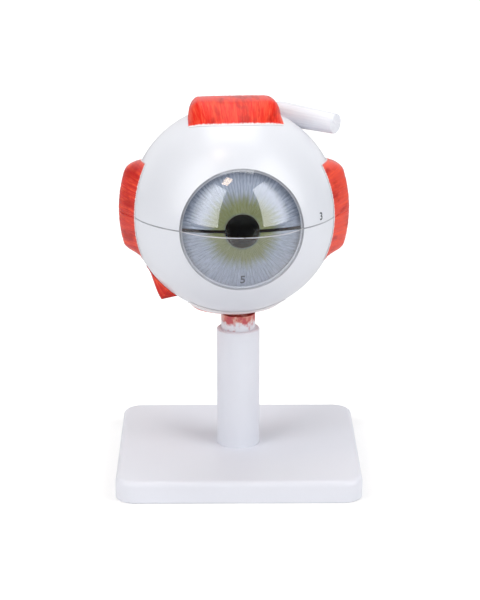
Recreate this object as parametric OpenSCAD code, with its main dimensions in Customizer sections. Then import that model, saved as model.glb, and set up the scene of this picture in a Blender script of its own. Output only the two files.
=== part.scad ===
// Enlarged teaching model of a right human eye on a desk stand.
// The globe parts along a level plane through its centre. Inside, the choroid halves with
// the iris nest in the sclera halves, and the vitreous body with the lens nests in those.
// Lengths are millimetres. The origin is under the middle of the footprint, on the table.
// +Z is up and the eye looks along -Y, turned a little towards +X, its nasal side.

/* [Base] */
// Width of the base plate
base_w = 135; // [110:1:170]
// Depth of the base plate
base_d = 129; // [110:1:170]
// Thickness of the base plate
base_t = 12.4; // [11:0.2:20]
// Corner radius of the base plate in plan
base_corner_r = 11; // [5:0.5:20]
// Rounding of the top edge of the base plate
base_edge_r = 3; // [1:0.25:4]
// Rounding of the bottom edge of the base plate
base_foot_r = 1; // [0.5:0.25:2]

/* [Stem] */
// Outer diameter of the stem tube
stem_d = 24; // [23:0.5:34]
// Height of the stem tube above the base plate
stem_h = 68; // [56:1:110]
// Depth of the socket that the stem stands in
stem_socket = 3; // [2:0.25:4]
// Length of the solid foot of the stem, measured above the base plate
stem_foot = 14; // [12:1:20]
// Diameter of the hollow between the foot of the stem and the neck peg
stem_core_d = 15; // [10:0.5:16]
// Width of the bevel round the top of the stem
stem_bevel = 0.6; // [0.2:0.1:0.9]

/* [Fastener] */
// Thread diameter of the stem screw
screw_d = 6; // [4:0.5:8]
// Length of screw thread in the foot of the stem
screw_grip = 11; // [6:0.5:12]
// Diameter of the screw head
screw_head_d = 11; // [10:0.5:12.5]
// Height of the screw head
screw_head_h = 3.4; // [2.4:0.2:3.8]
// Hexagon socket of the screw head, across corners
screw_hex = 5.6; // [3:0.2:7]
// Diameter of the washer
washer_d = 14; // [13:0.5:18]
// Thickness of the washer
washer_t = 1.2; // [0.8:0.1:1.6]

/* [Neck peg] */
// Diameter of the neck peg
peg_d = 19; // [17:0.25:19.5]
// Length of peg that shows between stem and globe
peg_show = 8.6; // [5:0.2:14]
// Length of peg inside the stem
peg_depth = 30; // [20:1:36]
// Diameter of the spigot that enters the globe
spigot_d = 11.5; // [8:0.5:14]

/* [Globe] */
// Outer diameter of the sclera
ball_d = 115; // [108:1:125]
// Wall of the sclera
sclera_wall = 2.9; // [2.4:0.1:3.4]
// How far the globe's centre stands to the left of the stem's axis
ball_offset = 2.3; // [0:0.1:4]
// Turn of the gaze towards the nasal side, in degrees
gaze_yaw = 4.7; // [0:0.1:12]
// Width of the groove that marks the parting line
seam_bevel = 0.35; // [0.1:0.05:0.5]

/* [Cornea] */
// Diameter of the clear cornea where it meets the sclera
limbus_d = 66; // [60:0.5:70]
// Height of the cornea's apex above the sclera's sphere
cornea_rise = 6.9; // [5:0.1:9]
// Wall of the cornea
cornea_wall = 1.5; // [1:0.1:2]
// Width of the ledge that the cornea is seated on
window_ledge = 1.8; // [1.2:0.1:2.4]

/* [Choroid and retina] */
// Air gap between nested shells
shell_gap = 0.45; // [0.35:0.05:0.6]
// Wall of the choroid
choroid_wall = 1.95; // [1.5:0.05:2.2]
// Thickness of the retina lining
retina_t = 1.1; // [0.8:0.1:1.4]
// Distance of the retina's front edge ahead of the globe's centre
retina_front = 24; // [18:0.5:29]

/* [Iris] */
// How far the root of the iris lies inside the limbus
iris_inset = 0.9; // [0.5:0.1:1.5]
// Height of the pupil's edge above the root of the iris
iris_rise = 6.5; // [5.5:0.1:8]
// Thickness of the iris
iris_t = 1.2; // [0.8:0.1:1.5]
// Diameter of the pupil
pupil_d = 17.4; // [12:0.2:22]
// Gap between the two halves of the iris
iris_cut = 1.3; // [0.6:0.1:2]

/* [Ciliary body] */
// Diameter inside the tips of the ciliary processes
ciliary_d = 49.8; // [48.6:0.2:52]
// Depth of the furrows between the processes
process_depth = 3; // [1.5:0.25:4]
// Number of processes round the whole ring
process_count = 72; // [48:4:90]
// Length of the ring, from its back face to its front face
ciliary_len = 7.6; // [6:0.2:8.4]

/* [Lens and vitreous body] */
// Diameter of the lens
lens_d = 45; // [42:0.5:47]
// Radius of the lens's front face
lens_front_r = 47.9; // [40:0.5:60]
// Radius of the lens's rear face
lens_rear_r = 28.7; // [27:0.1:34]
// Thickness of the lens at its rim
lens_rim = 1.4; // [0.8:0.1:2]
// Distance of the lens's front apex behind the pupil's rear edge
lens_gap = 1; // [0.6:0.1:2]
// Wall of the vitreous body
vitreous_wall = 1.8; // [1.4:0.1:2.4]
// Air gap between the lens and its hollow in the vitreous body
lens_seat_gap = 0.3; // [0.2:0.05:0.5]

/* [Straight muscles] */
// Front edge of the nasal muscle, in degrees ahead of the frontal plane
medial_front = 25; // [18:0.5:30]
// Front edge of the temple muscle, in degrees ahead of the frontal plane
lateral_front = 16.5; // [12:0.5:26]
// Front edge of the upper muscle, in degrees ahead of the frontal plane
superior_front = 26; // [18:0.5:30]
// Front edge of the lower muscle, in degrees ahead of the frontal plane
inferior_front = 24; // [18:0.5:30]
// Run over which the upper and side muscles gain their full thickness, in degrees
rectus_ramp = 17; // [14:0.5:24]
// Run over which the lower muscle gains its full thickness, in degrees
inferior_ramp = 29; // [20:0.5:34]
// Cut rear end of the straight muscles, in degrees behind the frontal plane
rectus_rear = 46; // [35:0.5:52]
// Thickness of the side muscles
side_t = 6.1; // [5:0.1:7.5]
// Width of the side muscles at their front edge
side_w = 57; // [44:0.5:60]
// Width that the lower halves of the side muscles would have as whole ones
side_low_w = 50; // [44:0.5:60]
// Thickness of the upper muscle
superior_t = 4.7; // [4:0.1:6]
// Width of the upper muscle at its front edge
superior_w = 51.5; // [44:0.5:56]
// Thickness of the lower muscle
inferior_t = 3.6; // [3:0.1:4.5]
// Width of the lower muscle at its front edge
inferior_w = 53; // [44:0.5:56]
// Width of every straight muscle at its cut rear end
rectus_rear_w = 34; // [26:0.5:40]

/* [Oblique muscles] */
// Diameter of the upper oblique tendon at its free end
tendon_d = 11.3; // [8:0.1:12]
// Diameter of the upper oblique tendon at its root
tendon_root_d = 13.4; // [10:0.2:14]
// Length of the upper oblique tendon
tendon_len = 38; // [25:0.5:46]
// Thickness of the lower oblique muscle at its cut end
oblique_t = 6.6; // [4:0.1:8]
// Width of the lower oblique muscle
oblique_w = 19; // [14:0.5:24]

/* [Optic nerve] */
// Diameter of the optic nerve's sheath
nerve_d = 19; // [15:0.5:22]
// Length of the optic nerve beyond the sclera
nerve_len = 20; // [12:0.5:28]
// Angle of the nerve from the rear pole to the nasal side, in degrees
nerve_angle = 15; // [10:0.5:20]
// Thickness of the nerve's sheath
sheath_t = 2.4; // [1.5:0.1:3]
// Length of bare nerve past the end of the sheath
nerve_bare = 3; // [1:0.25:5]

/* [Parting pins] */
// Diameter of the pins that locate the upper half on the lower half
pin_d = 2.6; // [2:0.1:3]
// Length of each parting pin
pin_len = 12; // [8:0.5:16]

/* [Hidden] */
$fn = 120;

// Clearances
turning_fit = 0.05;  // radial, peg in stem and spigot in globe
seated_fit = 0.05;   // radial, between pieces that are bonded or screwed together
pin_fit = 0.1;       // radial, pins in the upper half
muscle_seat = 0.08;  // under a muscle, so that its flat facets stay off the sclera
over = 1;            // how far a cut runs past the surface that it opens
reach = 200;         // larger than the whole model, for half spaces

// Radii of the nested shells
ball_r = ball_d / 2;
sclera_in_r = ball_r - sclera_wall;
choroid_r = sclera_in_r - shell_gap;
choroid_in_r = choroid_r - choroid_wall;
retina_in_r = choroid_in_r - retina_t;
vitreous_r = retina_in_r - shell_gap;

// Distance along the gaze at which a sphere round the globe's centre has a given radius
function front_of(sphere_r, r) = sqrt(pow(sphere_r, 2) - pow(r, 2));

// Cornea
limbus_r = limbus_d / 2;
limbus_q = front_of(ball_r, limbus_r);
cornea_apex_q = ball_r + cornea_rise;
cornea_sag = cornea_apex_q - limbus_q;
cornea_r = (pow(limbus_r, 2) + pow(cornea_sag, 2)) / (2 * cornea_sag);
cornea_centre_q = cornea_apex_q - cornea_r;
window_r = limbus_r - window_ledge;
ledge_q = limbus_q - cornea_wall;

// Iris: a dome through its root on the choroid and through the edge of the pupil
pupil_r = pupil_d / 2;
iris_root_r = limbus_r - iris_inset;
iris_root_q = front_of(choroid_r, iris_root_r);
pupil_q = iris_root_q + iris_rise;
iris_centre_q = (pow(pupil_r, 2) + pow(pupil_q, 2) - pow(iris_root_r, 2)
    - pow(iris_root_q, 2)) / (2 * iris_rise);
iris_dome_r = norm([iris_root_r, iris_root_q - iris_centre_q]);
iris_back_r = iris_dome_r - iris_t;

// Lens: two caps and a rim, set behind the pupil
lens_r = lens_d / 2;
lens_front_sag = lens_front_r - front_of(lens_front_r, lens_r);
lens_rear_sag = lens_rear_r - front_of(lens_rear_r, lens_r);
lens_front_q = pupil_q - iris_t - lens_gap;
lens_front_centre_q = lens_front_q - lens_front_r;
lens_rim_q = lens_front_q - lens_front_sag - lens_rim;
lens_rear_centre_q = lens_rim_q - lens_rear_sag + lens_rear_r;

// Ciliary body: a furrowed ring behind the root of the iris
ciliary_r = ciliary_d / 2;
ciliary_front_q = iris_root_q - iris_t;
ciliary_back_q = ciliary_front_q - ciliary_len;
furrow_step = 360 / process_count;

// Vitreous body: a sphere cut off behind the ciliary body, with a neck that holds the lens
neck_clear = 0.9;    // radial, neck inside the ciliary processes
neck_back = 2.6;     // front of the neck behind the rim of the lens
vitreous_neck_r = ciliary_r - neck_clear;
vitreous_cut_q = ciliary_back_q - shell_gap;
vitreous_neck_q = lens_rim_q - neck_back;
fossa_r = lens_rear_r + lens_seat_gap;

// Heights on the stand
stem_top_z = base_t + stem_h;
peg_r = peg_d / 2;
spigot_r = spigot_d / 2;
seat_drop = front_of(ball_r + inferior_t, peg_r + ball_offset);
seat_z = stem_top_z + peg_show;
ball_z = seat_z + seat_drop;
peg_bottom_z = stem_top_z - peg_depth;

// Footprint: the origin is halfway between the foremost and the rearmost point
nerve_turn = nerve_angle - gaze_yaw;
nerve_end = ball_r + nerve_len;
nerve_reach = nerve_end * cos(nerve_turn)
    + (nerve_d / 2 - sheath_t) * sin(nerve_turn);
front_reach = max(base_d / 2, cornea_apex_q);
rear_reach = max(base_d / 2, nerve_reach);
stem_y = (front_reach - rear_reach) / 2;

// Screw
screw_r = screw_d / 2;
head_recess = 0.8;   // screw head above the table
washer_z = head_recess + screw_head_h;
screw_floor_z = washer_z + washer_t;
screw_clear = 0.3;   // radial, screw through the base plate and the washer
head_room = 0.5;     // radial, counterbore round the washer

// Muscle shapes
edge_step = 0.25;    // thickness of a muscle's thin front and side edges
rectus_power = 1.3;  // how much the ramp steepens from its thin front edge
ramp_blend = 0.02;   // softness of the bend where the ramp meets the full thickness
side_shelf = 0.7;    // share of the half width over which a muscle keeps its thickness
side_fall = 1.7;     // steepness of the rounded fall from the shelf to the edge
rear_thin = 0.2;     // share of the thickness lost towards the rear cut
run_steps = 20;      // stations along a straight muscle
cross_steps = 8;     // stations from the middle of a muscle to its edge
oblique_steps = 13;  // stations along the lower oblique

// ---------- Placing ----------

// Puts children from the eye's own frame (X right, Y up, Z along the gaze) on the stand
module eye_place() {
    translate([-ball_offset, stem_y, ball_z])
        rotate([0, 0, gaze_yaw])
            rotate([90, 0, 0])
                children();
}

// Keeps what lies above the parting plane, or above a plane a little over it
module upper_half(lift = 0) {
    intersection() {
        children();
        translate([-reach, lift, -reach])
            cube([2 * reach, reach, 2 * reach]);
    }
}

// Keeps what lies below the parting plane, or below a plane a little under it
module lower_half(drop = 0) {
    mirror([0, 1, 0])
        upper_half(drop)
            mirror([0, 1, 0])
                children();
}

// Everything ahead of a plane across the gaze
module ahead_of(q) {
    translate([-reach, -reach, q])
        cube(2 * reach);
}

// Turns children that point along +Z to the direction of the optic nerve
module nerve_place() {
    rotate([0, 180 - nerve_angle, 0])
        children();
}

// ---------- Stand ----------

// Cross-section of the base plate's rounded edge, as wide as half_w from its middle
module edge_profile(half_w) {
    difference() {
        square([half_w, base_t]);
        translate([half_w - base_edge_r, base_t - base_edge_r])
            difference() {
                square(base_edge_r + over);
                circle(base_edge_r);
            }
        translate([half_w - base_foot_r, base_foot_r])
            rotate(-90)
                difference() {
                    square(base_foot_r + over);
                    circle(base_foot_r);
                }
    }
}

// Bar with the base plate's edge on both long sides
module edged_bar(width, length) {
    rotate([90, 0, 0])
        linear_extrude(length, center = true) {
            edge_profile(width / 2);
            mirror([1, 0])
                edge_profile(width / 2);
        }
}

module base_plate() {
    inner_w = base_w - 2 * base_corner_r;
    inner_d = base_d - 2 * base_corner_r;
    color("whitesmoke")
        translate([0, stem_y, 0])
            difference() {
                union() {
                    edged_bar(base_w, inner_d);
                    rotate([0, 0, 90])
                        edged_bar(base_d, inner_w);
                    for (sx = [-1, 1], sy = [-1, 1])
                        translate([sx * inner_w / 2, sy * inner_d / 2, 0])
                            rotate_extrude()
                                edge_profile(base_corner_r);
                }
                translate([0, 0, base_t - stem_socket])
                    cylinder(h = stem_socket + over, r = stem_d / 2 + seated_fit);
                translate([0, 0, -over])
                    cylinder(h = base_t, r = screw_r + screw_clear);
                translate([0, 0, -over])
                    cylinder(h = screw_floor_z + over, r = washer_d / 2 + head_room);
            }
}

module stem_tube() {
    foot_z = base_t - stem_socket;
    color("gainsboro")
        translate([0, stem_y, 0])
            difference() {
                union() {
                    translate([0, 0, foot_z])
                        cylinder(h = stem_top_z - stem_bevel - foot_z, r = stem_d / 2);
                    translate([0, 0, stem_top_z - stem_bevel])
                        cylinder(h = stem_bevel, r1 = stem_d / 2, r2 = stem_d / 2 - stem_bevel);
                }
                translate([0, 0, peg_bottom_z])
                    cylinder(h = peg_depth + over, r = peg_r + turning_fit);
                translate([0, 0, base_t + stem_foot])
                    cylinder(h = peg_bottom_z - base_t - stem_foot + over, r = stem_core_d / 2);
                translate([0, 0, foot_z - over])
                    cylinder(h = screw_grip + over, r = screw_r + seated_fit);
            }
}

module stem_screw() {
    thread_h = base_t - stem_socket + screw_grip - washer_z - over;
    color("silver")
        translate([0, stem_y, head_recess])
            difference() {
                union() {
                    cylinder(h = screw_head_h, r = screw_head_d / 2);
                    translate([0, 0, screw_head_h])
                        cylinder(h = thread_h, r = screw_r);
                }
                translate([0, 0, -over])
                    cylinder(h = screw_head_h / 2 + over, r = screw_hex / 2, $fn = 6);
            }
}

module screw_washer() {
    color("silver")
        translate([0, stem_y, washer_z])
            difference() {
                cylinder(h = washer_t, r = washer_d / 2);
                translate([0, 0, -over])
                    cylinder(h = washer_t + 2 * over, r = screw_r + screw_clear);
            }
}

// Height of the spigot's flat top: just under the inside of the sclera
spigot_top_z = ball_z - sclera_in_r - muscle_seat;

module neck_peg() {
    color("mistyrose")
        translate([0, stem_y, 0]) {
            translate([0, 0, peg_bottom_z])
                cylinder(h = seat_z - peg_bottom_z, r = peg_r);
            translate([0, 0, seat_z])
                cylinder(h = spigot_top_z - seat_z, r = spigot_r);
        }
}

// Bore for the spigot and the flat that the peg's shoulder bears on, in the stand's frame
module neck_bore() {
    translate([0, stem_y, 0]) {
        translate([0, 0, seat_z - over])
            cylinder(h = ball_z - seat_z, r = spigot_r + turning_fit);
        translate([0, 0, seat_z - inferior_t - over])
            cylinder(h = inferior_t + over, r = peg_r + head_room);
    }
}

// ---------- Sclera and cornea ----------

// Ring that bevels the outer edge of a half sphere where it meets the parting plane
module seam_ring(r) {
    rotate([-90, 0, 0])
        rotate_extrude()
            polygon([[r - seam_bevel, 0], [r + over, 0], [r + over, seam_bevel + over]]);
}

// Whole sclera with its corneal window and the hole for the optic nerve
module sclera_shell() {
    difference() {
        sphere(ball_r);
        sphere(sclera_in_r);
        cylinder(h = ball_r, r = window_r);
        translate([0, 0, ledge_q])
            cylinder(h = ball_r, r = limbus_r);
        nerve_place()
            cylinder(h = ball_r + over, r = nerve_plug_r);
    }
}

module upper_sclera() {
    color("ghostwhite")
        eye_place()
            difference() {
                upper_half()
                    sclera_shell();
                seam_ring(ball_r);
            }
}

module lower_sclera() {
    color("ghostwhite")
        difference() {
            eye_place()
                difference() {
                    lower_half()
                        sclera_shell();
                    mirror([0, 1, 0])
                        seam_ring(ball_r);
                }
            neck_bore();
        }
}

// Whole cornea: a domed wall with a short cylindrical rim
module cornea_shell() {
    rim_r = limbus_r - seated_fit;
    difference() {
        intersection() {
            translate([0, 0, cornea_centre_q])
                sphere(cornea_r);
            translate([0, 0, ledge_q])
                cylinder(h = ball_r, r = rim_r);
        }
        translate([0, 0, cornea_centre_q])
            sphere(cornea_r - cornea_wall);
    }
}

module upper_cornea() {
    color("lightcyan", 0.4)
        eye_place()
            upper_half()
                cornea_shell();
}

module lower_cornea() {
    color("lightcyan", 0.4)
        eye_place()
            lower_half()
                cornea_shell();
}

// ---------- Choroid, retina, iris and ciliary body ----------

// Ball under the rear face of the iris, which trims what the iris rests on
module iris_back_ball() {
    translate([0, 0, iris_centre_q])
        sphere(iris_back_r);
}

// Hole for the nerve, through the choroid and the retina
module disc_hole() {
    nerve_place()
        cylinder(h = ball_r, r = nerve_core_r / 2);
}

module choroid_shell() {
    intersection() {
        difference() {
            sphere(choroid_r);
            sphere(choroid_in_r);
            disc_hole();
        }
        iris_back_ball();
    }
}

module retina_shell() {
    difference() {
        sphere(choroid_in_r);
        sphere(retina_in_r);
        ahead_of(retina_front);
        disc_hole();
    }
}

module iris_shell() {
    intersection() {
        difference() {
            translate([0, 0, iris_centre_q])
                sphere(iris_dome_r);
            iris_back_ball();
            cylinder(h = ball_r, r = pupil_r);
        }
        sphere(choroid_r);
        ahead_of(0);
    }
}

// Plan of the furrowed ring: tips and furrows alternate round the inside
module process_plan() {
    difference() {
        circle(ball_r);
        polygon([
            for (k = [0 : process_count - 1], side = [0, 1])
                let (turn = furrow_step * (k + side / 2))
                let (r = ciliary_r + side * process_depth)
                    r * [cos(turn), sin(turn)]
        ]);
    }
}

// Ciliary body: its back slopes outwards, so that each process is a tapering fin
module ciliary_ring() {
    slope_r = ciliary_r + process_depth;
    difference() {
        intersection() {
            translate([0, 0, ciliary_back_q])
                linear_extrude(ciliary_len + iris_rise)
                    process_plan();
            sphere(choroid_in_r);
            iris_back_ball();
        }
        translate([0, 0, ciliary_back_q - over])
            cylinder(h = ciliary_len / 2 + over, r1 = slope_r + 2 * over, r2 = ciliary_r - over);
    }
}

module upper_choroid() {
    color("sienna")
        eye_place()
            upper_half()
                choroid_shell();
}

module lower_choroid() {
    color("sienna")
        eye_place()
            lower_half()
                choroid_shell();
}

module upper_retina() {
    color("orange")
        eye_place()
            upper_half()
                retina_shell();
}

module lower_retina() {
    color("orange")
        eye_place()
            lower_half()
                retina_shell();
}

module upper_iris() {
    color("slategray")
        eye_place()
            upper_half(iris_cut / 2)
                iris_shell();
}

module lower_iris() {
    color("slategray")
        eye_place()
            lower_half(iris_cut / 2)
                iris_shell();
}

module upper_ciliary_body() {
    color("saddlebrown")
        eye_place()
            upper_half()
                ciliary_ring();
}

module lower_ciliary_body() {
    color("saddlebrown")
        eye_place()
            lower_half()
                ciliary_ring();
}

// ---------- Vitreous body and lens ----------

// Outline of the vitreous body, smaller by inset all over
module vitreous_solid(inset) {
    difference() {
        union() {
            difference() {
                sphere(vitreous_r - inset);
                ahead_of(vitreous_cut_q - inset);
            }
            cylinder(h = vitreous_neck_q - inset, r = vitreous_neck_r - inset);
        }
        translate([0, 0, lens_rear_centre_q])
            sphere(fossa_r + inset);
    }
}

module vitreous_shell() {
    difference() {
        vitreous_solid(0);
        vitreous_solid(vitreous_wall);
    }
}

module vitreous_front() {
    color("aliceblue", 0.4)
        eye_place()
            intersection() {
                vitreous_shell();
                ahead_of(0);
            }
}

module vitreous_rear() {
    color("aliceblue", 0.4)
        eye_place()
            difference() {
                vitreous_shell();
                ahead_of(0);
            }
}

module lens() {
    color("azure", 0.5)
        eye_place()
            intersection() {
                translate([0, 0, lens_front_centre_q])
                    sphere(lens_front_r);
                translate([0, 0, lens_rear_centre_q])
                    sphere(lens_rear_r);
                cylinder(h = ball_r, r = lens_r);
            }
}

// ---------- Muscles ----------

// The lesser of a rising value and 1, with a soft bend between them
function soft_limit(t) = (1 + t - sqrt(pow(1 - t, 2) + ramp_blend)) / 2;

// Thickness share along a muscle: a steepening ramp, then nearly level to the rear cut
function run_share(along, ramp_along, power) =
    soft_limit(pow(along / ramp_along, power)) * (1 - rear_thin * pow(along, 4));

// Thickness share across a muscle: level over the shelf, then a rounded fall to the edge
function cross_share(u) =
    abs(u) < side_shelf ? 1 : 1 - pow((abs(u) - side_shelf) / (1 - side_shelf), side_fall);

// Point of a strap: run is the angle along it, cross the angle to its side
function strap_point(frame, run, cross, r) =
    r * (cos(cross) * (sin(run) * frame[0] + cos(run) * frame[2]) + sin(cross) * frame[1]);

// Strap that lies on the sclera. Its seat and its outer face are grids over the same
// stations, joined round the edges. frame holds the direction of travel, of the side and
// of the start. size holds length, ramp, bow of the front edge and slant of the rear cut,
// all in degrees, then the power of the ramp; width is front and rear; cross_list runs
// from -1 to 1, or over one half.
module strap(frame, start, size, width, thick, hollow, steps, cross_list) {
    rows = steps + 1;
    cols = len(cross_list);
    seat_r = ball_r + muscle_seat;
    grid = [
        for (face = [0, 1], i = [0 : steps], u = cross_list)
            let (along = i / steps)
            let (half_w = (width[0] + (width[1] - width[0]) * pow(along, 2)) / 2)
            let (run = start + (size[0] - face * size[3]) * along
                + size[2] * pow(u, 2) * (1 - along))
            let (crown = thick + hollow * pow(u, 2))
            let (height = max(edge_step, crown * run_share(along, size[1] / size[0], size[4])
                * cross_share(u)))
                strap_point(frame, run, asin(u * half_w / ball_r), seat_r + face * height)
    ];
    outer = rows * cols;
    quads = concat(
        [for (i = [0 : steps - 1], j = [0 : cols - 2])
            let (p = outer + i * cols + j) [p, p + 1, p + cols + 1, p + cols]],
        [for (i = [0 : steps - 1], j = [0 : cols - 2])
            let (p = i * cols + j) [p, p + cols, p + cols + 1, p + 1]],
        [for (i = [0 : steps - 1])
            let (p = i * cols) [p, p + outer, p + outer + cols, p + cols]],
        [for (i = [0 : steps - 1])
            let (p = i * cols + cols - 1) [p, p + cols, p + outer + cols, p + outer]],
        [for (j = [0 : cols - 2]) [j, j + 1, j + 1 + outer, j + outer]],
        [for (j = [0 : cols - 2])
            let (p = steps * cols + j) [p, p + outer, p + outer + 1, p + 1]]
    );
    polyhedron(grid, [for (f = quads) each [[f[0], f[2], f[1]], [f[0], f[3], f[2]]]]);
}

full_width = [for (k = [-cross_steps : cross_steps]) k / cross_steps];
upper_side = [for (k = [0 : cross_steps]) k / cross_steps];
lower_side = [for (k = [-cross_steps : 0]) k / cross_steps];
side_hollow = 0.9;      // extra height near the edges, where the outer face is flatter
superior_hollow = 5.2;  // the upper muscle is flat across, so its edges stand high
inferior_hollow = 2;    // and the lower one a little less so
superior_bow = 8.5;     // degrees by which the upper muscle's front corners lie back

// Straight muscle that starts the given angle ahead of the frontal plane
module rectus(frame, front, ramp, bow, width, thick, hollow, cross_list) {
    strap(frame, 90 - front, [front + rectus_rear, ramp, bow, 0, rectus_power],
        [width, rectus_rear_w], thick, hollow, run_steps, cross_list);
}

// The frames are right-handed, so the temple side counts its width downwards
nasal_frame = [[1, 0, 0], [0, 1, 0], [0, 0, 1]];
temple_frame = [[-1, 0, 0], [0, -1, 0], [0, 0, 1]];
top_frame = [[0, 1, 0], [-1, 0, 0], [0, 0, 1]];
bottom_frame = [[0, -1, 0], [1, 0, 0], [0, 0, 1]];

// Parting pins: upright, in the middle of the side muscles' thickness
pin_run = 12;  // degrees behind the frontal plane
pin_reach = ball_r + side_t * 0.53;

module pin_pair(r, length) {
    for (side = [-1, 1])
        rotate([0, side * pin_run, 0])
            translate([side * pin_reach, 0, 0])
                rotate([90, 0, 0])
                    cylinder(h = length, r = r, center = true);
}

module medial_rectus_upper() {
    color("tomato")
        eye_place()
            difference() {
                rectus(nasal_frame, medial_front, rectus_ramp, 0, side_w, side_t,
                    side_hollow, upper_side);
                pin_pair(pin_d / 2 + pin_fit, pin_len + 2 * pin_fit);
            }
}

module medial_rectus_lower() {
    color("tomato")
        eye_place()
            difference() {
                rectus(nasal_frame, medial_front, rectus_ramp, 0, side_low_w, side_t,
                    side_hollow, lower_side);
                pin_pair(pin_d / 2, pin_len);
            }
}

module lateral_rectus_upper() {
    color("tomato")
        eye_place()
            difference() {
                rectus(temple_frame, lateral_front, rectus_ramp, 0, side_w, side_t,
                    side_hollow, lower_side);
                pin_pair(pin_d / 2 + pin_fit, pin_len + 2 * pin_fit);
            }
}

module lateral_rectus_lower() {
    color("tomato")
        eye_place()
            difference() {
                rectus(temple_frame, lateral_front, rectus_ramp, 0, side_low_w, side_t,
                    side_hollow, upper_side);
                pin_pair(pin_d / 2, pin_len);
            }
}

module parting_pins() {
    color("silver")
        eye_place()
            pin_pair(pin_d / 2, pin_len);
}

module superior_rectus() {
    color("orangered")
        eye_place()
            rectus(top_frame, superior_front, rectus_ramp, superior_bow, superior_w,
                superior_t, superior_hollow, full_width);
}

module inferior_rectus() {
    color("tomato")
        difference() {
            eye_place()
                rectus(bottom_frame, inferior_front, inferior_ramp, 0, inferior_w,
                    inferior_t, inferior_hollow, full_width);
            neck_bore();
        }
}

// The lower oblique leaves the sclera under the temple muscle and ends below it
oblique_from = [-0.83, -0.55, -0.03];
oblique_to = [-0.55, -0.83, 0.08];
oblique_slant = 5;     // degrees by which the cut end leans back outwards
oblique_reach = 1.3;   // its ramp would end this far along, so it still grows at the cut
oblique_power = 1.7;   // how much the ramp steepens from its thin end

function unit(v) = v / norm(v);
function frame_of(from, to) =
    let (z = unit(from))
    let (x = unit(to - (to * z) * z))
        [x, cross(z, x), z];

module inferior_oblique() {
    length = acos(unit(oblique_from) * unit(oblique_to));
    end_share = run_share(1, oblique_reach, oblique_power);
    color("salmon")
        eye_place()
            strap(frame_of(oblique_from, oblique_to), 0,
                [length, length * oblique_reach, 0, oblique_slant, oblique_power],
                [oblique_w, oblique_w], oblique_t / end_share, 0, oblique_steps,
                full_width);
}

// The upper oblique's tendon: a turned, tapering rod with a rounded root, cut to the ball
tendon_run = 31;      // degrees behind the frontal plane, where it lies on the sclera
tendon_side = 26;     // degrees to the nasal side of the upper muscle's middle line
tendon_way = unit([29.8, -2.1, 23.4]);
tendon_lift = 4.2;    // height of its axis over the sclera there
tendon_back = 5;      // length of the root behind that place
tendon_nose = 7.5;    // length over which the root is rounded
nose_steps = 8;

module superior_oblique_tendon() {
    root = strap_point(top_frame, 90 + tendon_run, -tendon_side, ball_r + tendon_lift);
    reach = tendon_back + tendon_len;
    color("ghostwhite")
        eye_place()
            difference() {
                translate(root - tendon_way * tendon_back)
                    rotate([0, acos(tendon_way[2]), atan2(tendon_way[1], tendon_way[0])])
                        rotate_extrude()
                            polygon(concat(
                                [for (k = [0 : nose_steps])
                                    let (turn = 90 * k / nose_steps)
                                        [tendon_root_d / 2 * sin(turn),
                                            tendon_nose * (1 - cos(turn))]],
                                [[tendon_d / 2, reach], [0, reach]]
                            ));
                sphere(ball_r + muscle_seat);
            }
}

// ---------- Optic nerve ----------

nerve_r = nerve_d / 2;
nerve_core_r = nerve_r - sheath_t;
nerve_plug_r = nerve_core_r - over;  // plug of the nerve in the wall of the sclera
flare_r = 3;                         // fillet where the sheath meets the sclera
flare_steps = 6;

// Half outline of the nerve: plug, fillet, sheath and bare end
module nerve_outline() {
    flare_q = front_of(ball_r, nerve_r + flare_r);
    sheath_q = nerve_end - nerve_bare;
    polygon(concat(
        [[0, 0], [nerve_r + flare_r, 0]],
        [for (k = [0 : flare_steps])
            let (turn = 90 * k / flare_steps)
                [nerve_r + flare_r * (1 - sin(turn)), flare_q + flare_r * (1 - cos(turn))]],
        [[nerve_r, sheath_q], [nerve_core_r, sheath_q], [nerve_core_r, nerve_end], [0, nerve_end]]
    ));
}

// The sheath sits on the sclera, and a plug fills the hole level with the inside
module nerve_whole() {
    nerve_place() {
        difference() {
            rotate_extrude()
                nerve_outline();
            sphere(ball_r);
        }
        difference() {
            cylinder(h = ball_r + over, r = nerve_plug_r - seated_fit);
            sphere(sclera_in_r);
        }
    }
}

module optic_nerve_upper() {
    color("khaki")
        eye_place()
            upper_half()
                nerve_whole();
}

module optic_nerve_lower() {
    color("khaki")
        eye_place()
            lower_half()
                nerve_whole();
}

base_plate();
stem_tube();
stem_screw();
screw_washer();
neck_peg();
lower_sclera();
upper_sclera();
lower_cornea();
upper_cornea();
superior_rectus();
inferior_rectus();
lateral_rectus_upper();
lateral_rectus_lower();
medial_rectus_upper();
medial_rectus_lower();
superior_oblique_tendon();
inferior_oblique();
optic_nerve_upper();
optic_nerve_lower();
parting_pins();
lower_choroid();
upper_choroid();
lower_retina();
upper_retina();
lower_iris();
upper_iris();
lower_ciliary_body();
upper_ciliary_body();
vitreous_front();
vitreous_rear();
lens();
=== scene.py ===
"""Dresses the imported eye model: plastics, painted muscles, clear cornea, iris and studio.

Shapes are worked out in metres in the eye's own frame, with X to the nasal side, Y up and Z
along the gaze, and eye_to_row() brings them into the row frame.
"""

import math
from collections import namedtuple

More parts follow.
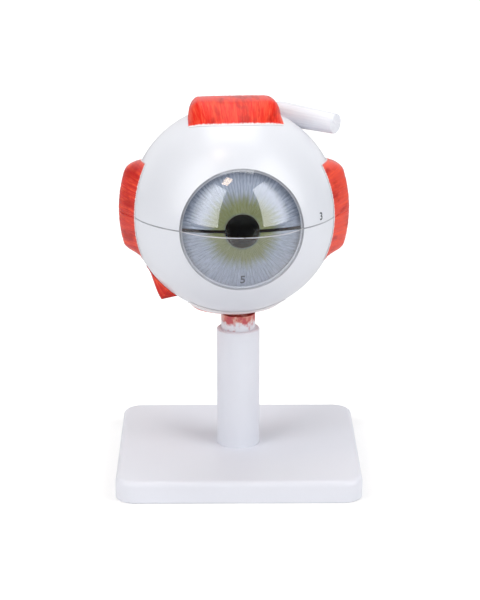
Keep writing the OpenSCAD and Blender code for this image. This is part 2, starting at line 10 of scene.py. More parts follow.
import bmesh
import bpy
import numpy as np
from bpy.props import (
    FloatProperty,
    FloatVectorProperty,
    IntProperty,
    PointerProperty,
)
from bpy.types import Operator, Panel, PropertyGroup
from mathutils import Matrix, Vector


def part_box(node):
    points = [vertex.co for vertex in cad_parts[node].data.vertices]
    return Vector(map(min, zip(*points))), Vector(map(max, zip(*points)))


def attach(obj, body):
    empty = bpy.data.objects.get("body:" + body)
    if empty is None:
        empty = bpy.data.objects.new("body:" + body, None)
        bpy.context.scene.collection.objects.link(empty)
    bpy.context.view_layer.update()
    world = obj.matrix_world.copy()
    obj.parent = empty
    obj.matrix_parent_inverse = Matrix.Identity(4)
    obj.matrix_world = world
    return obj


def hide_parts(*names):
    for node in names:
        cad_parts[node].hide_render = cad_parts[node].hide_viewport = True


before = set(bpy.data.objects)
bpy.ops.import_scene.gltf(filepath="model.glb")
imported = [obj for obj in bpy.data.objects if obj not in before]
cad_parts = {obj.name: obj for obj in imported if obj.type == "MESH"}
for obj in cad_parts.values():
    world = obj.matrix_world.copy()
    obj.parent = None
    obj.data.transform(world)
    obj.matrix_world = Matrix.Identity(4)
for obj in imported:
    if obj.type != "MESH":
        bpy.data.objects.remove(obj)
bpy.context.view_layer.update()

bl_info = {
    "name": "Take-apart eye model",
    "version": (1, 0, 0),
    "blender": (4, 5, 0),
    "location": "3D View > Sidebar > Eye Model",
    "description": "Builds the surfaces, finishes and studio of a classroom eye model",
    "category": "Object",
}

MM = 0.001
CRISP = math.radians(35)  # an edge that turns by more stays sharp
MERGE = 1e-7              # points closer than this, in metres, are one
SURFACE = "Surface"
SIDE = "side"
HALVES = (("upper", True), ("lower", False))


# ---------- Sizes and colours ----------


def length(name, default, description):
    """Property for a length in millimetres, kept in metres."""
    return FloatProperty(
        name=name, description=description, default=default * MM, unit="LENGTH", precision=5
    )


def angle(name, default, description):
    """Property for an angle in degrees, kept in radians."""
    return FloatProperty(
        name=name, description=description, default=math.radians(default), unit="ROTATION"
    )


def share(name, default, description):
    """Property for a share between 0 and 1."""
    return FloatProperty(
        name=name, description=description, default=default, min=0.0, max=1.0, subtype="FACTOR"
    )


def colour(name, default, description):
    """Property for a colour in linear light."""
    return FloatVectorProperty(
        name=name, description=description, default=default, size=3, min=0.0, max=1.0,
        subtype="COLOR",
    )


def srgb(red, green, blue):
    """Linear colour of three 0 to 255 display values, by the display curve's inverse."""
    shares = (red / 255, green / 255, blue / 255)
    return tuple(
        c / 12.92 if c <= 0.04045 else ((c + 0.055) / 1.055) ** 2.4 for c in shares
    )


class GlobeSizes(PropertyGroup):
    """Sizes of the globe that the new surfaces are laid on."""

    ball_r: length("Ball radius", 57.5, "Outer radius of the sclera")
    seat: length("Seat gap", 0.08, "Gap under the muscles")
    gaze: angle("Gaze yaw", 4.7, "Turn of the gaze to the nasal side")
    limbus_r: length("Limbus radius", 32.95, "Radius of the cornea's rim")
    ledge_q: length("Ledge distance", 45.59, "Distance of the cornea's rear rim")
    cornea_r: length("Cornea radius", 40.1, "Outer radius of the cornea's dome")
    cornea_apex: length("Cornea apex", 64.4, "Distance of the cornea's apex along the gaze")
    cornea_wall: length("Cornea wall", 1.5, "Wall of the cornea")
    cornea_band: length("Cornea band", 1.5, "Frosted band of the dome inside its rim")
    # the strip carries the whitish paint of the sawn edges, a painted highlight
    cornea_strip: length("Cornea strip", 0.16, "Frosted strip beside the cornea's sawn edges")
    vessel_ball_r: length("Vessel radius", 51.05, "Radius of the ball that the vessels run on")
    neck_seat: length("Neck seat", 89, "Height of the flat that the peg's shoulder bears on")


class IrisSizes(PropertyGroup):
    """Sizes of the iris."""

    root_r: length("Root radius", 32.1, "Radius of the iris at its root")
    root_q: length("Root distance", 43.61, "Distance of the root along the gaze")
    pupil_r: length("Pupil radius", 9.2, "Radius of the pupil")
    pupil_q: length("Pupil distance", 50.05, "Distance of the pupil's edge along the gaze")
    wall: length("Wall", 1.2, "Wall of the iris")
    cut: length("Cut", 1.7, "Gap between the two halves of the iris")
    groove: length("Groove floor", 0.14, "Gap between the halves at the back of the iris")
    relief: length("Relief", 0.14, "Height of the radial folds")
    folds: IntProperty(
        name="Folds", description="Number of radial folds round the whole iris", default=96
    )


class MuscleSizes(PropertyGroup):
    """Sizes that all the muscles share."""

    rear: angle("Rear cut", 46, "Cut rear end behind the frontal plane")
    rear_w: length("Rear width", 34, "Width at the cut rear end")
    rear_thin: share("Rear thinning", 0.2, "Share of the thickness lost towards the rear")
    shelf: share("Shelf", 0.7, "Share of the half width that keeps its thickness")
    edge: length("Edge", 0.25, "Thickness of the thin front and side edges")
    bead: length("Bead", 0.7, "Rounding of the cut rear edge")
    seam: length("Seam", 0.5, "Bevel of the two halves at the parting plane")
    fibre: length("Fibre relief", 0.1, "Height of the moulded fibres")
    side_w: length("Side width", 57, "Width of the side muscles above the seam")
    side_low_w: length("Lower side width", 50, "Width of the side muscles below the seam")
    side_t: length("Side thickness", 6.1, "Thickness of the side muscles")
    superior_w: length("Upper width", 51.5, "Width of the upper muscle")
    superior_t: length("Upper thickness", 4.62, "Thickness of the upper muscle")
    inferior_w: length("Lower width", 53, "Width of the lower muscle")
    inferior_t: length("Lower thickness", 3.6, "Thickness of the lower muscle")
    oblique_w: length("Oblique width", 19, "Width of the lower oblique muscle")
    oblique_t: length("Oblique thickness", 6.6, "Thickness of the lower oblique muscle")


class TendonSizes(PropertyGroup):
    """Sizes of the upper oblique tendon."""

    reach: length("Length", 38, "Length from the place on the sclera to the free end")
    back: length("Root length", 5, "Length of the root behind that place")
    nose: length("Root rounding", 7.5, "Length over which the root is rounded")
    lift: length("Lift", 4.2, "Height of the axis over the sclera")
    end_d: length("End diameter", 11.3, "Diameter at the free end")
    root_d: length("Root diameter", 13.4, "Diameter at the root")
    bead: length("Bead", 0.7, "Rounding of the free end")


class EyeColours(PropertyGroup):
    """Colours of the finishes."""

    sclera: colour("Sclera", srgb(226, 229, 236), "Glossy white of the sclera")
    stand: colour("Stand", srgb(227, 229, 237), "White of the stem and the peg")
    base: colour("Base", srgb(231, 233, 241), "White of the base")
    upper_red: colour("Upper muscle", srgb(228, 36, 22), "Paint of the upper muscle")
    side_red: colour("Side muscles", srgb(208, 48, 42), "Paint of the side muscles")
    nasal_red: colour("Nasal muscle", srgb(226, 72, 58), "Paint of the nasal muscle")
    pale_red: colour("Pale strokes", srgb(242, 88, 58), "Thin paint between the strokes")
    deep_red: colour("Deep strokes", srgb(172, 14, 10), "Paint pooled between the strokes")
    rim_white: colour("Muscle edge", srgb(236, 232, 234), "Bare plastic of the muscles' edges")
    iris_outer: colour("Outer iris", srgb(150, 158, 173), "Blue-grey of the outer iris")
    iris_pale: colour("Pale iris", srgb(171, 178, 195), "Pale folds of the outer iris")
    iris_inner: colour("Inner iris", srgb(138, 142, 106), "Grey-green of the inner iris")
    iris_olive: colour("Olive iris", srgb(110, 115, 62), "Olive flecks of the inner iris")
    iris_dark: colour("Dark iris", srgb(78, 84, 102), "Furrows and rim of the iris")
    choroid: colour("Choroid", srgb(118, 58, 40), "Brown of the choroid")
    choroid_vein: colour("Choroid vessels", srgb(166, 42, 36), "Vessels of the choroid")
    retina: colour("Retina", srgb(228, 150, 84), "Orange of the retina")
    artery: colour("Arteries", srgb(160, 30, 26), "Arteries of the retina")
    vein: colour("Veins", srgb(52, 48, 92), "Veins of the retina")
    # near-black cut faces of the iris: painted shade of the gap between its halves
    iris_cut: colour("Cut iris", srgb(24, 15, 15), "Dark edge where the iris is cut")
    ciliary: colour("Ciliary body", srgb(46, 27, 23), "Brown of the ciliary body")
    nerve: colour("Nerve sheath", srgb(232, 222, 196), "Cream of the nerve's sheath")
    nerve_core: colour("Nerve core", srgb(232, 190, 110), "Yellow of the nerve's core")
    cornea: colour("Cornea", srgb(248, 250, 252), "Tint of the clear cornea")
    # whitish sawn edges of the cornea: painted highlight of the edges catching light
    cornea_edge: colour("Cornea edge", srgb(226, 226, 232), "Frosted edge of the sawn cornea")
    vitreous: colour("Vitreous body", srgb(236, 240, 242), "Tint of the vitreous body")
    lens: colour("Lens", srgb(236, 236, 232), "Tint of the lens")
    rim: colour("Cornea rim", srgb(214, 216, 224), "Frosted rim of the cornea")
    rim_line: colour("Rim line", srgb(92, 96, 108), "Shadow lines beside the cornea's rim")
    # thin grey line drawn along the sclera's parting line and round the cornea
    seam_line: colour("Seam line", srgb(150, 152, 160), "Dust in the parting line")
    tendon: colour("Tendon", srgb(240, 243, 249), "White of the tendon")
    tendon_strand: colour("Tendon strands", srgb(228, 231, 239), "Strands of the tendon")
    stain_pale: colour("Pale stain", srgb(222, 150, 120), "Thin red stain on the peg")
    stain_red: colour("Red stain", srgb(190, 34, 44), "Thick red stain on the peg")
    steel: colour("Steel", srgb(176, 178, 182), "Steel of the screw and the pins")
    ink: colour("Ink", srgb(52, 56, 64), "Printed numbers")
    floor: colour("Floor", (0.86, 0.86, 0.87), "Floor of the studio")


class StudioSettings(PropertyGroup):
    """Camera and lamps of the studio."""

    lens: FloatProperty(
        name="Lens", description="Focal length", default=126.07, unit="CAMERA"
    )
    pitch: angle("Pitch", 16.56, "Tilt of the camera below the horizon")
    yaw: angle("Yaw", 0.516, "Turn of the camera to the left")
    ambient: FloatProperty(
        name="Ambient", description="Strength of the even light", default=0.2, min=0.0
    )
    dark: FloatProperty(
        name="Dark studio", description="Strength of the studio in reflections", default=0.05,
        min=0.0,
    )
    backdrop: FloatProperty(
        name="Backdrop", description="Strength of the backdrop in reflections", default=0.95,
        min=0.0,
    )
    soft_boxes: FloatProperty(
        name="Soft boxes", description="Power of each of the two soft boxes", default=10.5,
        unit="POWER",
    )
    top_light: FloatProperty(
        name="Top light", description="Power of the light overhead", default=4.0, unit="POWER"
    )
    warm_spot: FloatProperty(
        name="Warm spot", description="Power of the small warm lamp", default=0.9, unit="POWER"
    )


def settings():
    """All the property groups of the scene."""
    return bpy.context.scene.eye_model


# ---------- Placing ----------

NERVE_YAW = math.radians(15)
NERVE_WAY = np.array([math.sin(NERVE_YAW), 0.0, -math.cos(NERVE_YAW)])
NERVE_SIDE = np.array([math.cos(NERVE_YAW), 0.0, math.sin(NERVE_YAW)])
NERVE_CORE_R = 7.1 * MM


def ball_centre():
    """Centre of the globe in metres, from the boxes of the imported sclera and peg."""
    globe = settings().globe
    low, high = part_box("upper_sclera")
    peg_low, peg_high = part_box("neck_peg")
    return np.array([
        (low[0] + high[0]) / 2,
        (peg_low[1] + peg_high[1]) / 2,
        high[2] - globe.ball_r,
    ])


def eye_axes():
    """Columns are the eye's X, Y and Z in the row frame: the gaze is -Y turned by the yaw."""
    yaw = settings().globe.gaze
    return np.array([
        [math.cos(yaw), 0.0, math.sin(yaw)],
        [math.sin(yaw), 0.0, -math.cos(yaw)],
        [0.0, 1.0, 0.0],
    ])


def eye_to_row(points):
    """Points of the eye's own frame, in metres, turned and moved into the row frame."""
    return points @ eye_axes().T + ball_centre()


def unit(vectors):
    """Vectors divided by their lengths along the last axis."""
    return vectors / np.linalg.norm(vectors, axis=-1, keepdims=True)


# ---------- Meshes ----------


def grid_quads(rows, cols, first=0, wrap=False):
    """Quads over a grid of rows by cols points, numbered row by row, closed if it wraps."""
    row = np.arange(rows - 1)[:, None]
    col = np.arange(cols if wrap else cols - 1)[None, :]
    after = (col + 1) % cols
    corners = (row * cols + col, row * cols + after,
               (row + 1) * cols + after, (row + 1) * cols + col)
    return first + np.stack(corners, axis=-1).reshape(-1, 4)


def strip_quads(first_line, second_line):
    """Quads between two lines of points that have the same count."""
    corners = (first_line[:-1], first_line[1:], second_line[1:], second_line[:-1])
    return np.stack(corners, axis=-1)


def mesh_of(name, points, quads):
    """Mesh from whole arrays of points and four-cornered faces."""
    mesh = bpy.data.meshes.new(name)
    mesh.vertices.add(len(points))
    mesh.vertices.foreach_set("co", np.ascontiguousarray(points, np.float32).ravel())
    mesh.loops.add(quads.size)
    mesh.loops.foreach_set("vertex_index", quads.ravel().astype(np.int32))
    mesh.polygons.add(len(quads))
    mesh.polygons.foreach_set("loop_start", np.arange(0, quads.size, 4, dtype=np.int32))
    mesh.update(calc_edges=True)
    return mesh


def in_scene(name, data):
    """New object in the scene that holds a mesh, a text, a lamp or a camera."""
    made = bpy.data.objects.new(name, data)
    bpy.context.scene.collection.objects.link(made)
    return made


def close_mesh(mesh, merge=MERGE):
    """Merges points that coincide and turns every face outwards."""
    work = bmesh.new()
    work.from_mesh(mesh)
    bmesh.ops.remove_doubles(work, verts=work.verts, dist=merge)
    bmesh.ops.recalc_face_normals(work, faces=work.faces)
    work.to_mesh(mesh)
    work.free()


def new_piece(name, shape, body, materials, surface=None, side=None, stands_for=(),
              kinds=None, merge=MERGE):
    """Closed piece from points and quads, smooth but for its crisp edges.

    surface holds two surface coordinates for each point, side its distance to the nearest
    side edge, in the units that the piece's material reads, and kinds a material for each
    face.
    """
    points, quads = shape
    mesh = mesh_of(name, points, quads)
    if kinds is not None:
        mesh.polygons.foreach_set("material_index", kinds.astype(np.int32))
    if surface is not None:
        mesh.uv_layers.new(name=SURFACE).data.foreach_set(
            "uv", surface[quads.ravel()].astype(np.float32).ravel()
        )
    if side is not None:
        mesh.attributes.new(SIDE, "FLOAT", "POINT").data.foreach_set(
            "value", side.astype(np.float32)
        )
    close_mesh(mesh, merge)
    mesh.shade_smooth()
    mesh.set_sharp_from_angle(angle=CRISP)
    for material in materials:
        mesh.materials.append(material)
    piece = in_scene(name, mesh)
    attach(piece, body)
    if stands_for:
        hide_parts(*stands_for)
    return piece


def two_skins(seat, outer):
    """Points and quads of a plate between two grids of the same shape, closed all round."""
    rows, cols = seat.shape[:2]
    count = rows * cols
    index = np.arange(count).reshape(rows, cols)
    points = np.concatenate([seat.reshape(-1, 3), outer.reshape(-1, 3)])
    quads = np.concatenate([
        grid_quads(rows, cols)[:, ::-1],
        grid_quads(rows, cols, count),
        strip_quads(index[0], index[0] + count),
        strip_quads(index[-1] + count, index[-1]),
        strip_quads(index[:, 0] + count, index[:, 0]),
        strip_quads(index[:, -1], index[:, -1] + count),
    ])
    return points, quads


def lathe(profile, sides=64):
    """Points and quads of a closed profile of radius and height turned round the Z axis."""
    turn = np.linspace(0, 2 * np.pi, sides, endpoint=False)[:, None]
    radius, height = profile[:, 0][None, :], profile[:, 1][None, :]
    level = np.broadcast_to(height, (sides, len(profile)))
    points = np.stack([radius * np.cos(turn), radius * np.sin(turn), level], axis=-1)
    closed = np.concatenate([points, points[:1]])
    return closed.reshape(-1, 3), grid_quads(sides + 1, len(profile))


def cut_away(piece, shape):
    """Takes the solid of a second closed mesh out of a piece, and applies the result."""
    mesh = mesh_of("cutter", *shape)
    close_mesh(mesh)
    cutter = in_scene("cutter", mesh)
    modifier = piece.modifiers.new("Cut", "BOOLEAN")
    modifier.operation = "DIFFERENCE"
    modifier.solver = "EXACT"
    modifier.object = cutter
    with bpy.context.temp_override(object=piece, active_object=piece):
        bpy.ops.object.modifier_apply(modifier=modifier.name)
    bpy.data.objects.remove(cutter)
    bpy.data.meshes.remove(mesh)
    piece.data.set_sharp_from_angle(angle=CRISP)


# ---------- Shader node groups ----------


def feed(tree, socket, value):
    """Sets a socket to a value, or links it where the value is another socket."""
    if isinstance(value, bpy.types.NodeSocket):
        tree.links.new(value, socket)
    elif socket.type == "RGBA" and len(value) == 3:
        socket.default_value = (*value, 1.0)
    else:
        socket.default_value = value


def node(tree, kind, values=None, **fields):
    """New shader node: fields set its options, and values its sockets or their links."""
    made = tree.nodes.new(kind)
    for name, value in fields.items():
        setattr(made, name, value)
    for name, value in (values or {}).items():
        feed(tree, made.inputs[name], value)
    return made


def maths(tree, operation, *values, clamp=False):
    """Result of a Math node on numbers or sockets."""
    made = node(tree, "ShaderNodeMath", dict(enumerate(values)), operation=operation)
    made.use_clamp = clamp
    return made.outputs[0]


def blend(tree, factor, first, second):
    """Colour between two colours or sockets, whose places on a Mix node are 6 and 7."""
    values = {0: factor, 6: first, 7: second}
    return node(tree, "ShaderNodeMix", values, data_type="RGBA").outputs[2]


def ramp_value(tree, value, low, high, to_low=0.0, to_high=1.0):
    """Value carried smoothly from one range to another."""
    return node(
        tree, "ShaderNodeMapRange",
        {"Value": value, "From Min": low, "From Max": high, "To Min": to_low, "To Max": to_high},
        interpolation_type="SMOOTHSTEP",
    ).outputs[0]


def swayed(tree, value, texture, amount):
    """A value that a texture moves to either side, by up to half the amount."""
    return maths(tree, "MULTIPLY_ADD", maths(tree, "SUBTRACT", texture, 0.5), amount, value)


def stretched(tree, vector, scale):
    """A vector multiplied by a scale for each axis."""
    return node(
        tree, "ShaderNodeVectorMath", {0: vector, 1: scale}, operation="MULTIPLY"
    ).outputs[0]


def noise(tree, vector, scale, detail=3.0, roughness=0.55, distortion=0.0):
    """Value of a noise texture."""
    return node(
        tree, "ShaderNodeTexNoise",
        {"Vector": vector, "Scale": scale, "Detail": detail, "Roughness": roughness,
         "Distortion": distortion},
    ).outputs[0]


def new_group(inputs, outputs):
    """Empty node group with named sockets: inputs are (name, kind, default)."""
    tree = bpy.data.node_groups.new("shared", "ShaderNodeTree")
    for label, kind, default in inputs:
        socket = tree.interface.new_socket(label, in_out="INPUT", socket_type=kind)
        if default is not None:
            socket.default_value = default
    for label, kind in outputs:
        tree.interface.new_socket(label, in_out="OUTPUT", socket_type=kind)
    given = tree.nodes.new("NodeGroupInput").outputs
    result = tree.nodes.new("NodeGroupOutput").inputs
    return tree, given, result


def moulded_skin_group():
    """Faint clouds of tone, a fine orange-peel height and patches of handling gloss."""
    tree, given, result = new_group(
        [("Vector", "NodeSocketVector", None), ("Roughness", "NodeSocketFloat", 0.3)],
        [("Tone", "NodeSocketFloat"), ("Roughness", "NodeSocketFloat"),
         ("Height", "NodeSocketFloat")],
    )
    clouds = noise(tree, given["Vector"], 14.0, 2.0)
    peel = noise(tree, given["Vector"], 420.0, 2.0)
    touch = noise(tree, given["Vector"], 26.0, 2.0, 0.4)
    tree.links.new(ramp_value(tree, clouds, 0.2, 0.8), result["Tone"])
    tree.links.new(peel, result["Height"])
    spread = ramp_value(tree, touch, 0.1, 0.9, -0.03, 0.05)
    tree.links.new(maths(tree, "ADD", given["Roughness"], spread), result["Roughness"])
    return tree


def painted_fibres_group():
    """Brush strokes that run along a muscle, and paint that ends in a ragged edge.

    The vector is millimetres along the muscle from its front edge, millimetres across it,
    and the distance to its nearest side edge. Cover is where there is paint, Streak how
    thick it lies, Pool where it ran together, and Height the ridges that the bristles left.
    """
    tree, given, result = new_group(
        [("Vector", "NodeSocketVector", None), ("Margin", "NodeSocketFloat", 2.0),
         ("Side margin", "NodeSocketFloat", 0.8)],
        [("Cover", "NodeSocketFloat"), ("Streak", "NodeSocketFloat"),
         ("Pool", "NodeSocketFloat"), ("Height", "NodeSocketFloat")],
    )
    vector = given["Vector"]
    axes = node(tree, "ShaderNodeSeparateXYZ", {0: vector}).outputs
    bristles = noise(tree, stretched(tree, vector, (0.06, 1.0, 0.0)), 1.5, 3.0, 0.65, 0.3)
    strands = noise(tree, stretched(tree, vector, (0.03, 1.0, 0.0)), 0.5, 2.0, 0.5, 0.2)
    fringe = noise(tree, stretched(tree, vector, (0.2, 1.0, 0.0)), 1.5, 3.0, 0.7)
    ragged = swayed(tree, axes[0], fringe, 4.0)
    front = maths(tree, "DIVIDE", maths(tree, "SUBTRACT", ragged, given["Margin"]), 1.5)
    sideways = swayed(tree, axes[2], strands, 1.0)
    side = maths(tree, "DIVIDE", maths(tree, "SUBTRACT", sideways, given["Side margin"]), 0.8)
    cover = maths(tree, "MULTIPLY", ramp_value(tree, front, 0.0, 1.0),
                  ramp_value(tree, side, 0.0, 1.0), clamp=True)
    tree.links.new(cover, result["Cover"])
    mixed = maths(tree, "MULTIPLY_ADD", strands, 0.35, maths(tree, "MULTIPLY", bristles, 0.65))
    tree.links.new(ramp_value(tree, mixed, 0.36, 0.58), result["Streak"])
    pools = noise(tree, stretched(tree, vector, (0.45, 1.0, 0.0)), 0.11, 3.0, 0.6)
    tree.links.new(ramp_value(tree, pools, 0.47, 0.68), result["Pool"])
    tree.links.new(bristles, result["Height"])
    return tree


def branching_group():
    """Thin winding vessels, from the edges between the cells of a bent cell pattern."""
    tree, given, result = new_group(
        [("Vector", "NodeSocketVector", None), ("Scale", "NodeSocketFloat", 100.0),
         ("Width", "NodeSocketFloat", 0.05)],
        [("Mask", "NodeSocketFloat"), ("Height", "NodeSocketFloat")],
    )
    sway = node(tree, "ShaderNodeTexNoise", {"Vector": given["Vector"], "Scale": 90.0})
    moved = node(
        tree, "ShaderNodeVectorMath",
        {0: sway.outputs["Color"], 1: (0.006, 0.006, 0.006), 2: given["Vector"]},
        operation="MULTIPLY_ADD",
    ).outputs[0]
    cells = node(
        tree, "ShaderNodeTexVoronoi", {"Vector": moved, "Scale": given["Scale"]},
        feature="DISTANCE_TO_EDGE",
    ).outputs[0]
    mask = ramp_value(tree, cells, 0.0, given["Width"], 1.0, 0.0)
    tree.links.new(mask, result["Mask"])
    tree.links.new(mask, result["Height"])
    return tree


def shared(make):
    """The node group that a function makes, made once and named after the function."""
    tree = bpy.data.node_groups.get(make.__name__)
    if tree is None:
        tree = make()
        tree.name = make.__name__
    return tree


def group_node(tree, make, values):
    """Outputs of a shared node group placed in a material."""
    return node(tree, "ShaderNodeGroup", values, node_tree=shared(make)).outputs


# ---------- Materials ----------


def new_material(name, **fixed):
    """Material with a Principled shader whose fixed values are set on its own sockets."""
    material = bpy.data.materials.new(name)
    material.use_nodes = True
    tree = material.node_tree
    shader = tree.nodes["Principled BSDF"]
    for label, value in fixed.items():
        feed(tree, shader.inputs[label.replace("_", " ")], value)
    return material, tree, shader


def object_vector(tree):
    """The piece's own coordinates, in metres of the row frame."""
    return tree.nodes.new("ShaderNodeTexCoord").outputs["Object"]


def row_height(tree):
    """Height above the table, in metres."""
    return node(tree, "ShaderNodeSeparateXYZ", {0: object_vector(tree)}).outputs[2]


def line_distances(tree, ahead):
    """Distance of a point from a line through the ball's centre, and its distance along it."""
    offset = node(tree, "ShaderNodeVectorMath", {0: object_vector(tree), 1: tuple(ball_centre())},
                  operation="SUBTRACT").outputs[0]
    turned = node(tree, "ShaderNodeVectorMath", {0: offset, 1: tuple(ahead)},
                  operation="CROSS_PRODUCT").outputs[0]
    radius = node(tree, "ShaderNodeVectorMath", {0: turned}, operation="LENGTH").outputs["Value"]
    along = node(tree, "ShaderNodeVectorMath", {0: offset, 1: tuple(ahead)},
                 operation="DOT_PRODUCT").outputs["Value"]
    return radius, along


def surface_vector(tree):
    """The piece's own surface coordinates, with the attribute for the side distance."""
    flat = node(tree, "ShaderNodeUVMap", uv_map=SURFACE).outputs[0]
    axes = node(tree, "ShaderNodeSeparateXYZ", {0: flat}).outputs
    side = node(tree, "ShaderNodeAttribute", attribute_name=SIDE).outputs["Fac"]
    return node(tree, "ShaderNodeCombineXYZ", {0: axes[0], 1: axes[1], 2: side}).outputs[0]


def bump(tree, shader, height, distance, strength=1.0):
    """Feeds a height in metres into the shader's normal."""
    made = node(
        tree, "ShaderNodeBump",
        {"Height": height, "Distance": distance, "Strength": strength},
    )
    tree.links.new(made.outputs[0], shader.inputs["Normal"])


def paint_over(tree, shader, mask, tone):
    """Lays a colour over what feeds the shader's base colour, where a mask is 1."""
    socket = shader.inputs["Base Color"]
    tree.links.new(blend(tree, mask, socket.links[0].from_socket, tone), socket)


def moulded(name, base, roughness, tone_shift=0.05, peel=0.00002, **fixed):
    """Moulded plastic: a tone that drifts a little, orange peel and patches of gloss."""
    material, tree, shader = new_material(name, **fixed)
    skin = group_node(tree, moulded_skin_group,
                      {"Vector": object_vector(tree), "Roughness": roughness})
    darker = tuple(c * (1 - tone_shift) for c in base)
    tree.links.new(blend(tree, skin["Tone"], darker, base), shader.inputs["Base Color"])
    tree.links.new(skin["Roughness"], shader.inputs["Roughness"])
    bump(tree, shader, skin["Height"], peel)
    return material, tree, shader


def sclera_material():
    """Glossy white shell, with a thin grey line along the parting line and round the cornea."""
    colours, globe = settings().colours, settings().globe
    material, tree, shader = moulded(
        "sclera_plastic", colours.sclera, 0.3, 0.035, 0.000008,
        Specular_IOR_Level=0.5, Coat_Weight=0.25, Coat_Roughness=0.15,
    )
    middle = float(ball_centre()[2])
    off_plane = maths(tree, "ABSOLUTE", maths(tree, "SUBTRACT", row_height(tree), middle))
    parting = ramp_value(tree, off_plane, 0.1 * MM, 0.55 * MM, 1.0, 0.0)
    radius, along = line_distances(tree, eye_axes()[:, 2])
    limbus_line = globe.limbus_r + 0.1 * MM
    off_rim = maths(tree, "ABSOLUTE", maths(tree, "SUBTRACT", radius, limbus_line))
    rim = maths(tree, "MULTIPLY", ramp_value(tree, off_rim, 0.1 * MM, 0.45 * MM, 1.0, 0.0),
                maths(tree, "GREATER_THAN", along, 0.0))
    # noise that breaks up the grey line
    line_breaks = noise(tree, object_vector(tree), 110.0, 2.0)
    line = maths(tree, "MULTIPLY", maths(tree, "MAXIMUM", parting, rim),
                 ramp_value(tree, line_breaks, 0.2, 0.7, 0.35, 0.95))
    paint_over(tree, shader, line, colours.seam_line)
    return material


def muscle_material(name, paint, margin, side_margin):
    """Red brush strokes over white plastic: pale where the paint is thin, deep in pools."""
    colours = settings().colours
    material, tree, shader = new_material(name, Specular_IOR_Level=0.25)
    vector = surface_vector(tree)
    fibres = group_node(tree, painted_fibres_group,
                        {"Vector": vector, "Margin": margin, "Side margin": side_margin})
    strokes = blend(tree, fibres["Streak"], colours.pale_red, paint)
    pooled = blend(tree, maths(tree, "MULTIPLY", fibres["Pool"], 0.75), strokes,
                   colours.deep_red)
    thick = ramp_value(tree, fibres["Cover"], 0.0, 1.0)
    tree.links.new(blend(tree, thick, colours.rim_white, pooled), shader.inputs["Base Color"])
    tree.links.new(ramp_value(tree, fibres["Streak"], 0.0, 1.0, 0.42, 0.3),
                   shader.inputs["Roughness"])
    bump(tree, shader, fibres["Height"], 0.00025, 0.8)
    return material


def lower_muscle_material():
    """Paint that starts well behind the front edge, which stays white."""
    return muscle_material("muscle_lower", settings().colours.side_red, 11.0, 1.2)


def iris_material():
    """Radial folds: an olive inner zone that ends in rays, and a blue-grey outer zone.

    The spokes are a sine round the gaze, bent and faded by noise, and the rays between the
    zones are a sine of half as many turns.
    """
    colours, sizes = settings().colours, settings().iris
    material, tree, shader = new_material(
        "iris_green_grey", Roughness=0.45, Specular_IOR_Level=0.4
    )
    flat = node(tree, "ShaderNodeUVMap", uv_map=SURFACE).outputs[0]
    axes = node(tree, "ShaderNodeSeparateXYZ", {0: flat}).outputs
    turn, out = axes[0], axes[1]
    wander = noise(tree, stretched(tree, flat, (1.0, 0.5, 0.0)), 3.0, 2.0, 0.5)
    grain = noise(tree, stretched(tree, flat, (1.0, 0.15, 0.0)), 34.0, 3.0, 0.6)
    broad = noise(tree, stretched(tree, flat, (1.0, 0.4, 0.0)), 4.0, 2.0, 0.5)
    bent = maths(tree, "MULTIPLY_ADD", wander, 0.03, turn)
    spokes = maths(tree, "SINE", maths(tree, "MULTIPLY", bent, float(sizes.folds)))
    rays = maths(tree, "SINE", maths(tree, "MULTIPLY", bent, sizes.folds / 2))
    mixed = swayed(tree, spokes, grain, 1.6)
    furrow = maths(tree, "MULTIPLY", ramp_value(tree, mixed, 0.0, -1.3),
                   ramp_value(tree, out, 0.1, 0.9, 0.2, 0.34))
    reach = maths(tree, "MULTIPLY_ADD", rays, 0.04, swayed(tree, out, broad, 0.3))
    reach = swayed(tree, reach, grain, 0.16)
    outer = blend(tree, ramp_value(tree, grain, 0.35, 0.65), colours.iris_outer,
                  colours.iris_pale)
    inner = blend(tree, ramp_value(tree, grain, 0.3, 0.7), colours.iris_inner,
                  colours.iris_olive)
    zones = blend(tree, ramp_value(tree, reach, 0.2, 0.6), inner, outer)
    lined = blend(tree, furrow, zones, colours.iris_dark)
    collar = ramp_value(tree, out, 0.0, 0.06, 0.5, 0.0)
    tree.links.new(blend(tree, collar, lined, colours.iris_dark), shader.inputs["Base Color"])
    bump(tree, shader, mixed, 0.0001, 0.5)
    return material


def ink_material():
    """Dark printing ink, a little thinner in places."""
    return moulded("ink", settings().colours.ink, 0.5, 0.3)[0]


def iris_cut_material():
    """Near-black brown on the faces where the iris is cut into its halves: painted shade of the gap
    between them.
    """
    return moulded("iris_cut_edge", settings().colours.iris_cut, 0.7)[0]


def clear_material(name, tint, roughness, lets_lamps_through, shine=1.0, coat=0.0):
    """Clear plastic; the light of the lamps passes straight through where it is asked to."""
    material, tree, shader = new_material(
        name, Base_Color=tint, Transmission_Weight=1.0, IOR=1.49, Roughness=roughness,
        Specular_Tint=(shine, shine, shine), Coat_Weight=coat,
    )
    if lets_lamps_through:
        path = tree.nodes.new("ShaderNodeLightPath")
        film = node(tree, "ShaderNodeBsdfTransparent", {"Color": tint})
        mix = node(tree, "ShaderNodeMixShader", {0: path.outputs["Is Shadow Ray"]})
        tree.links.new(shader.outputs[0], mix.inputs[1])
        tree.links.new(film.outputs[0], mix.inputs[2])
        tree.links.new(mix.outputs[0], tree.nodes["Material Output"].inputs[0])
    return material


def cornea_edge_material():
    """Whitish edge where the cornea is sawn into its halves: a painted highlight of the edge
    catching light.
    """
    return moulded("cornea_frosted_edge", settings().colours.cornea_edge, 0.5)[0]


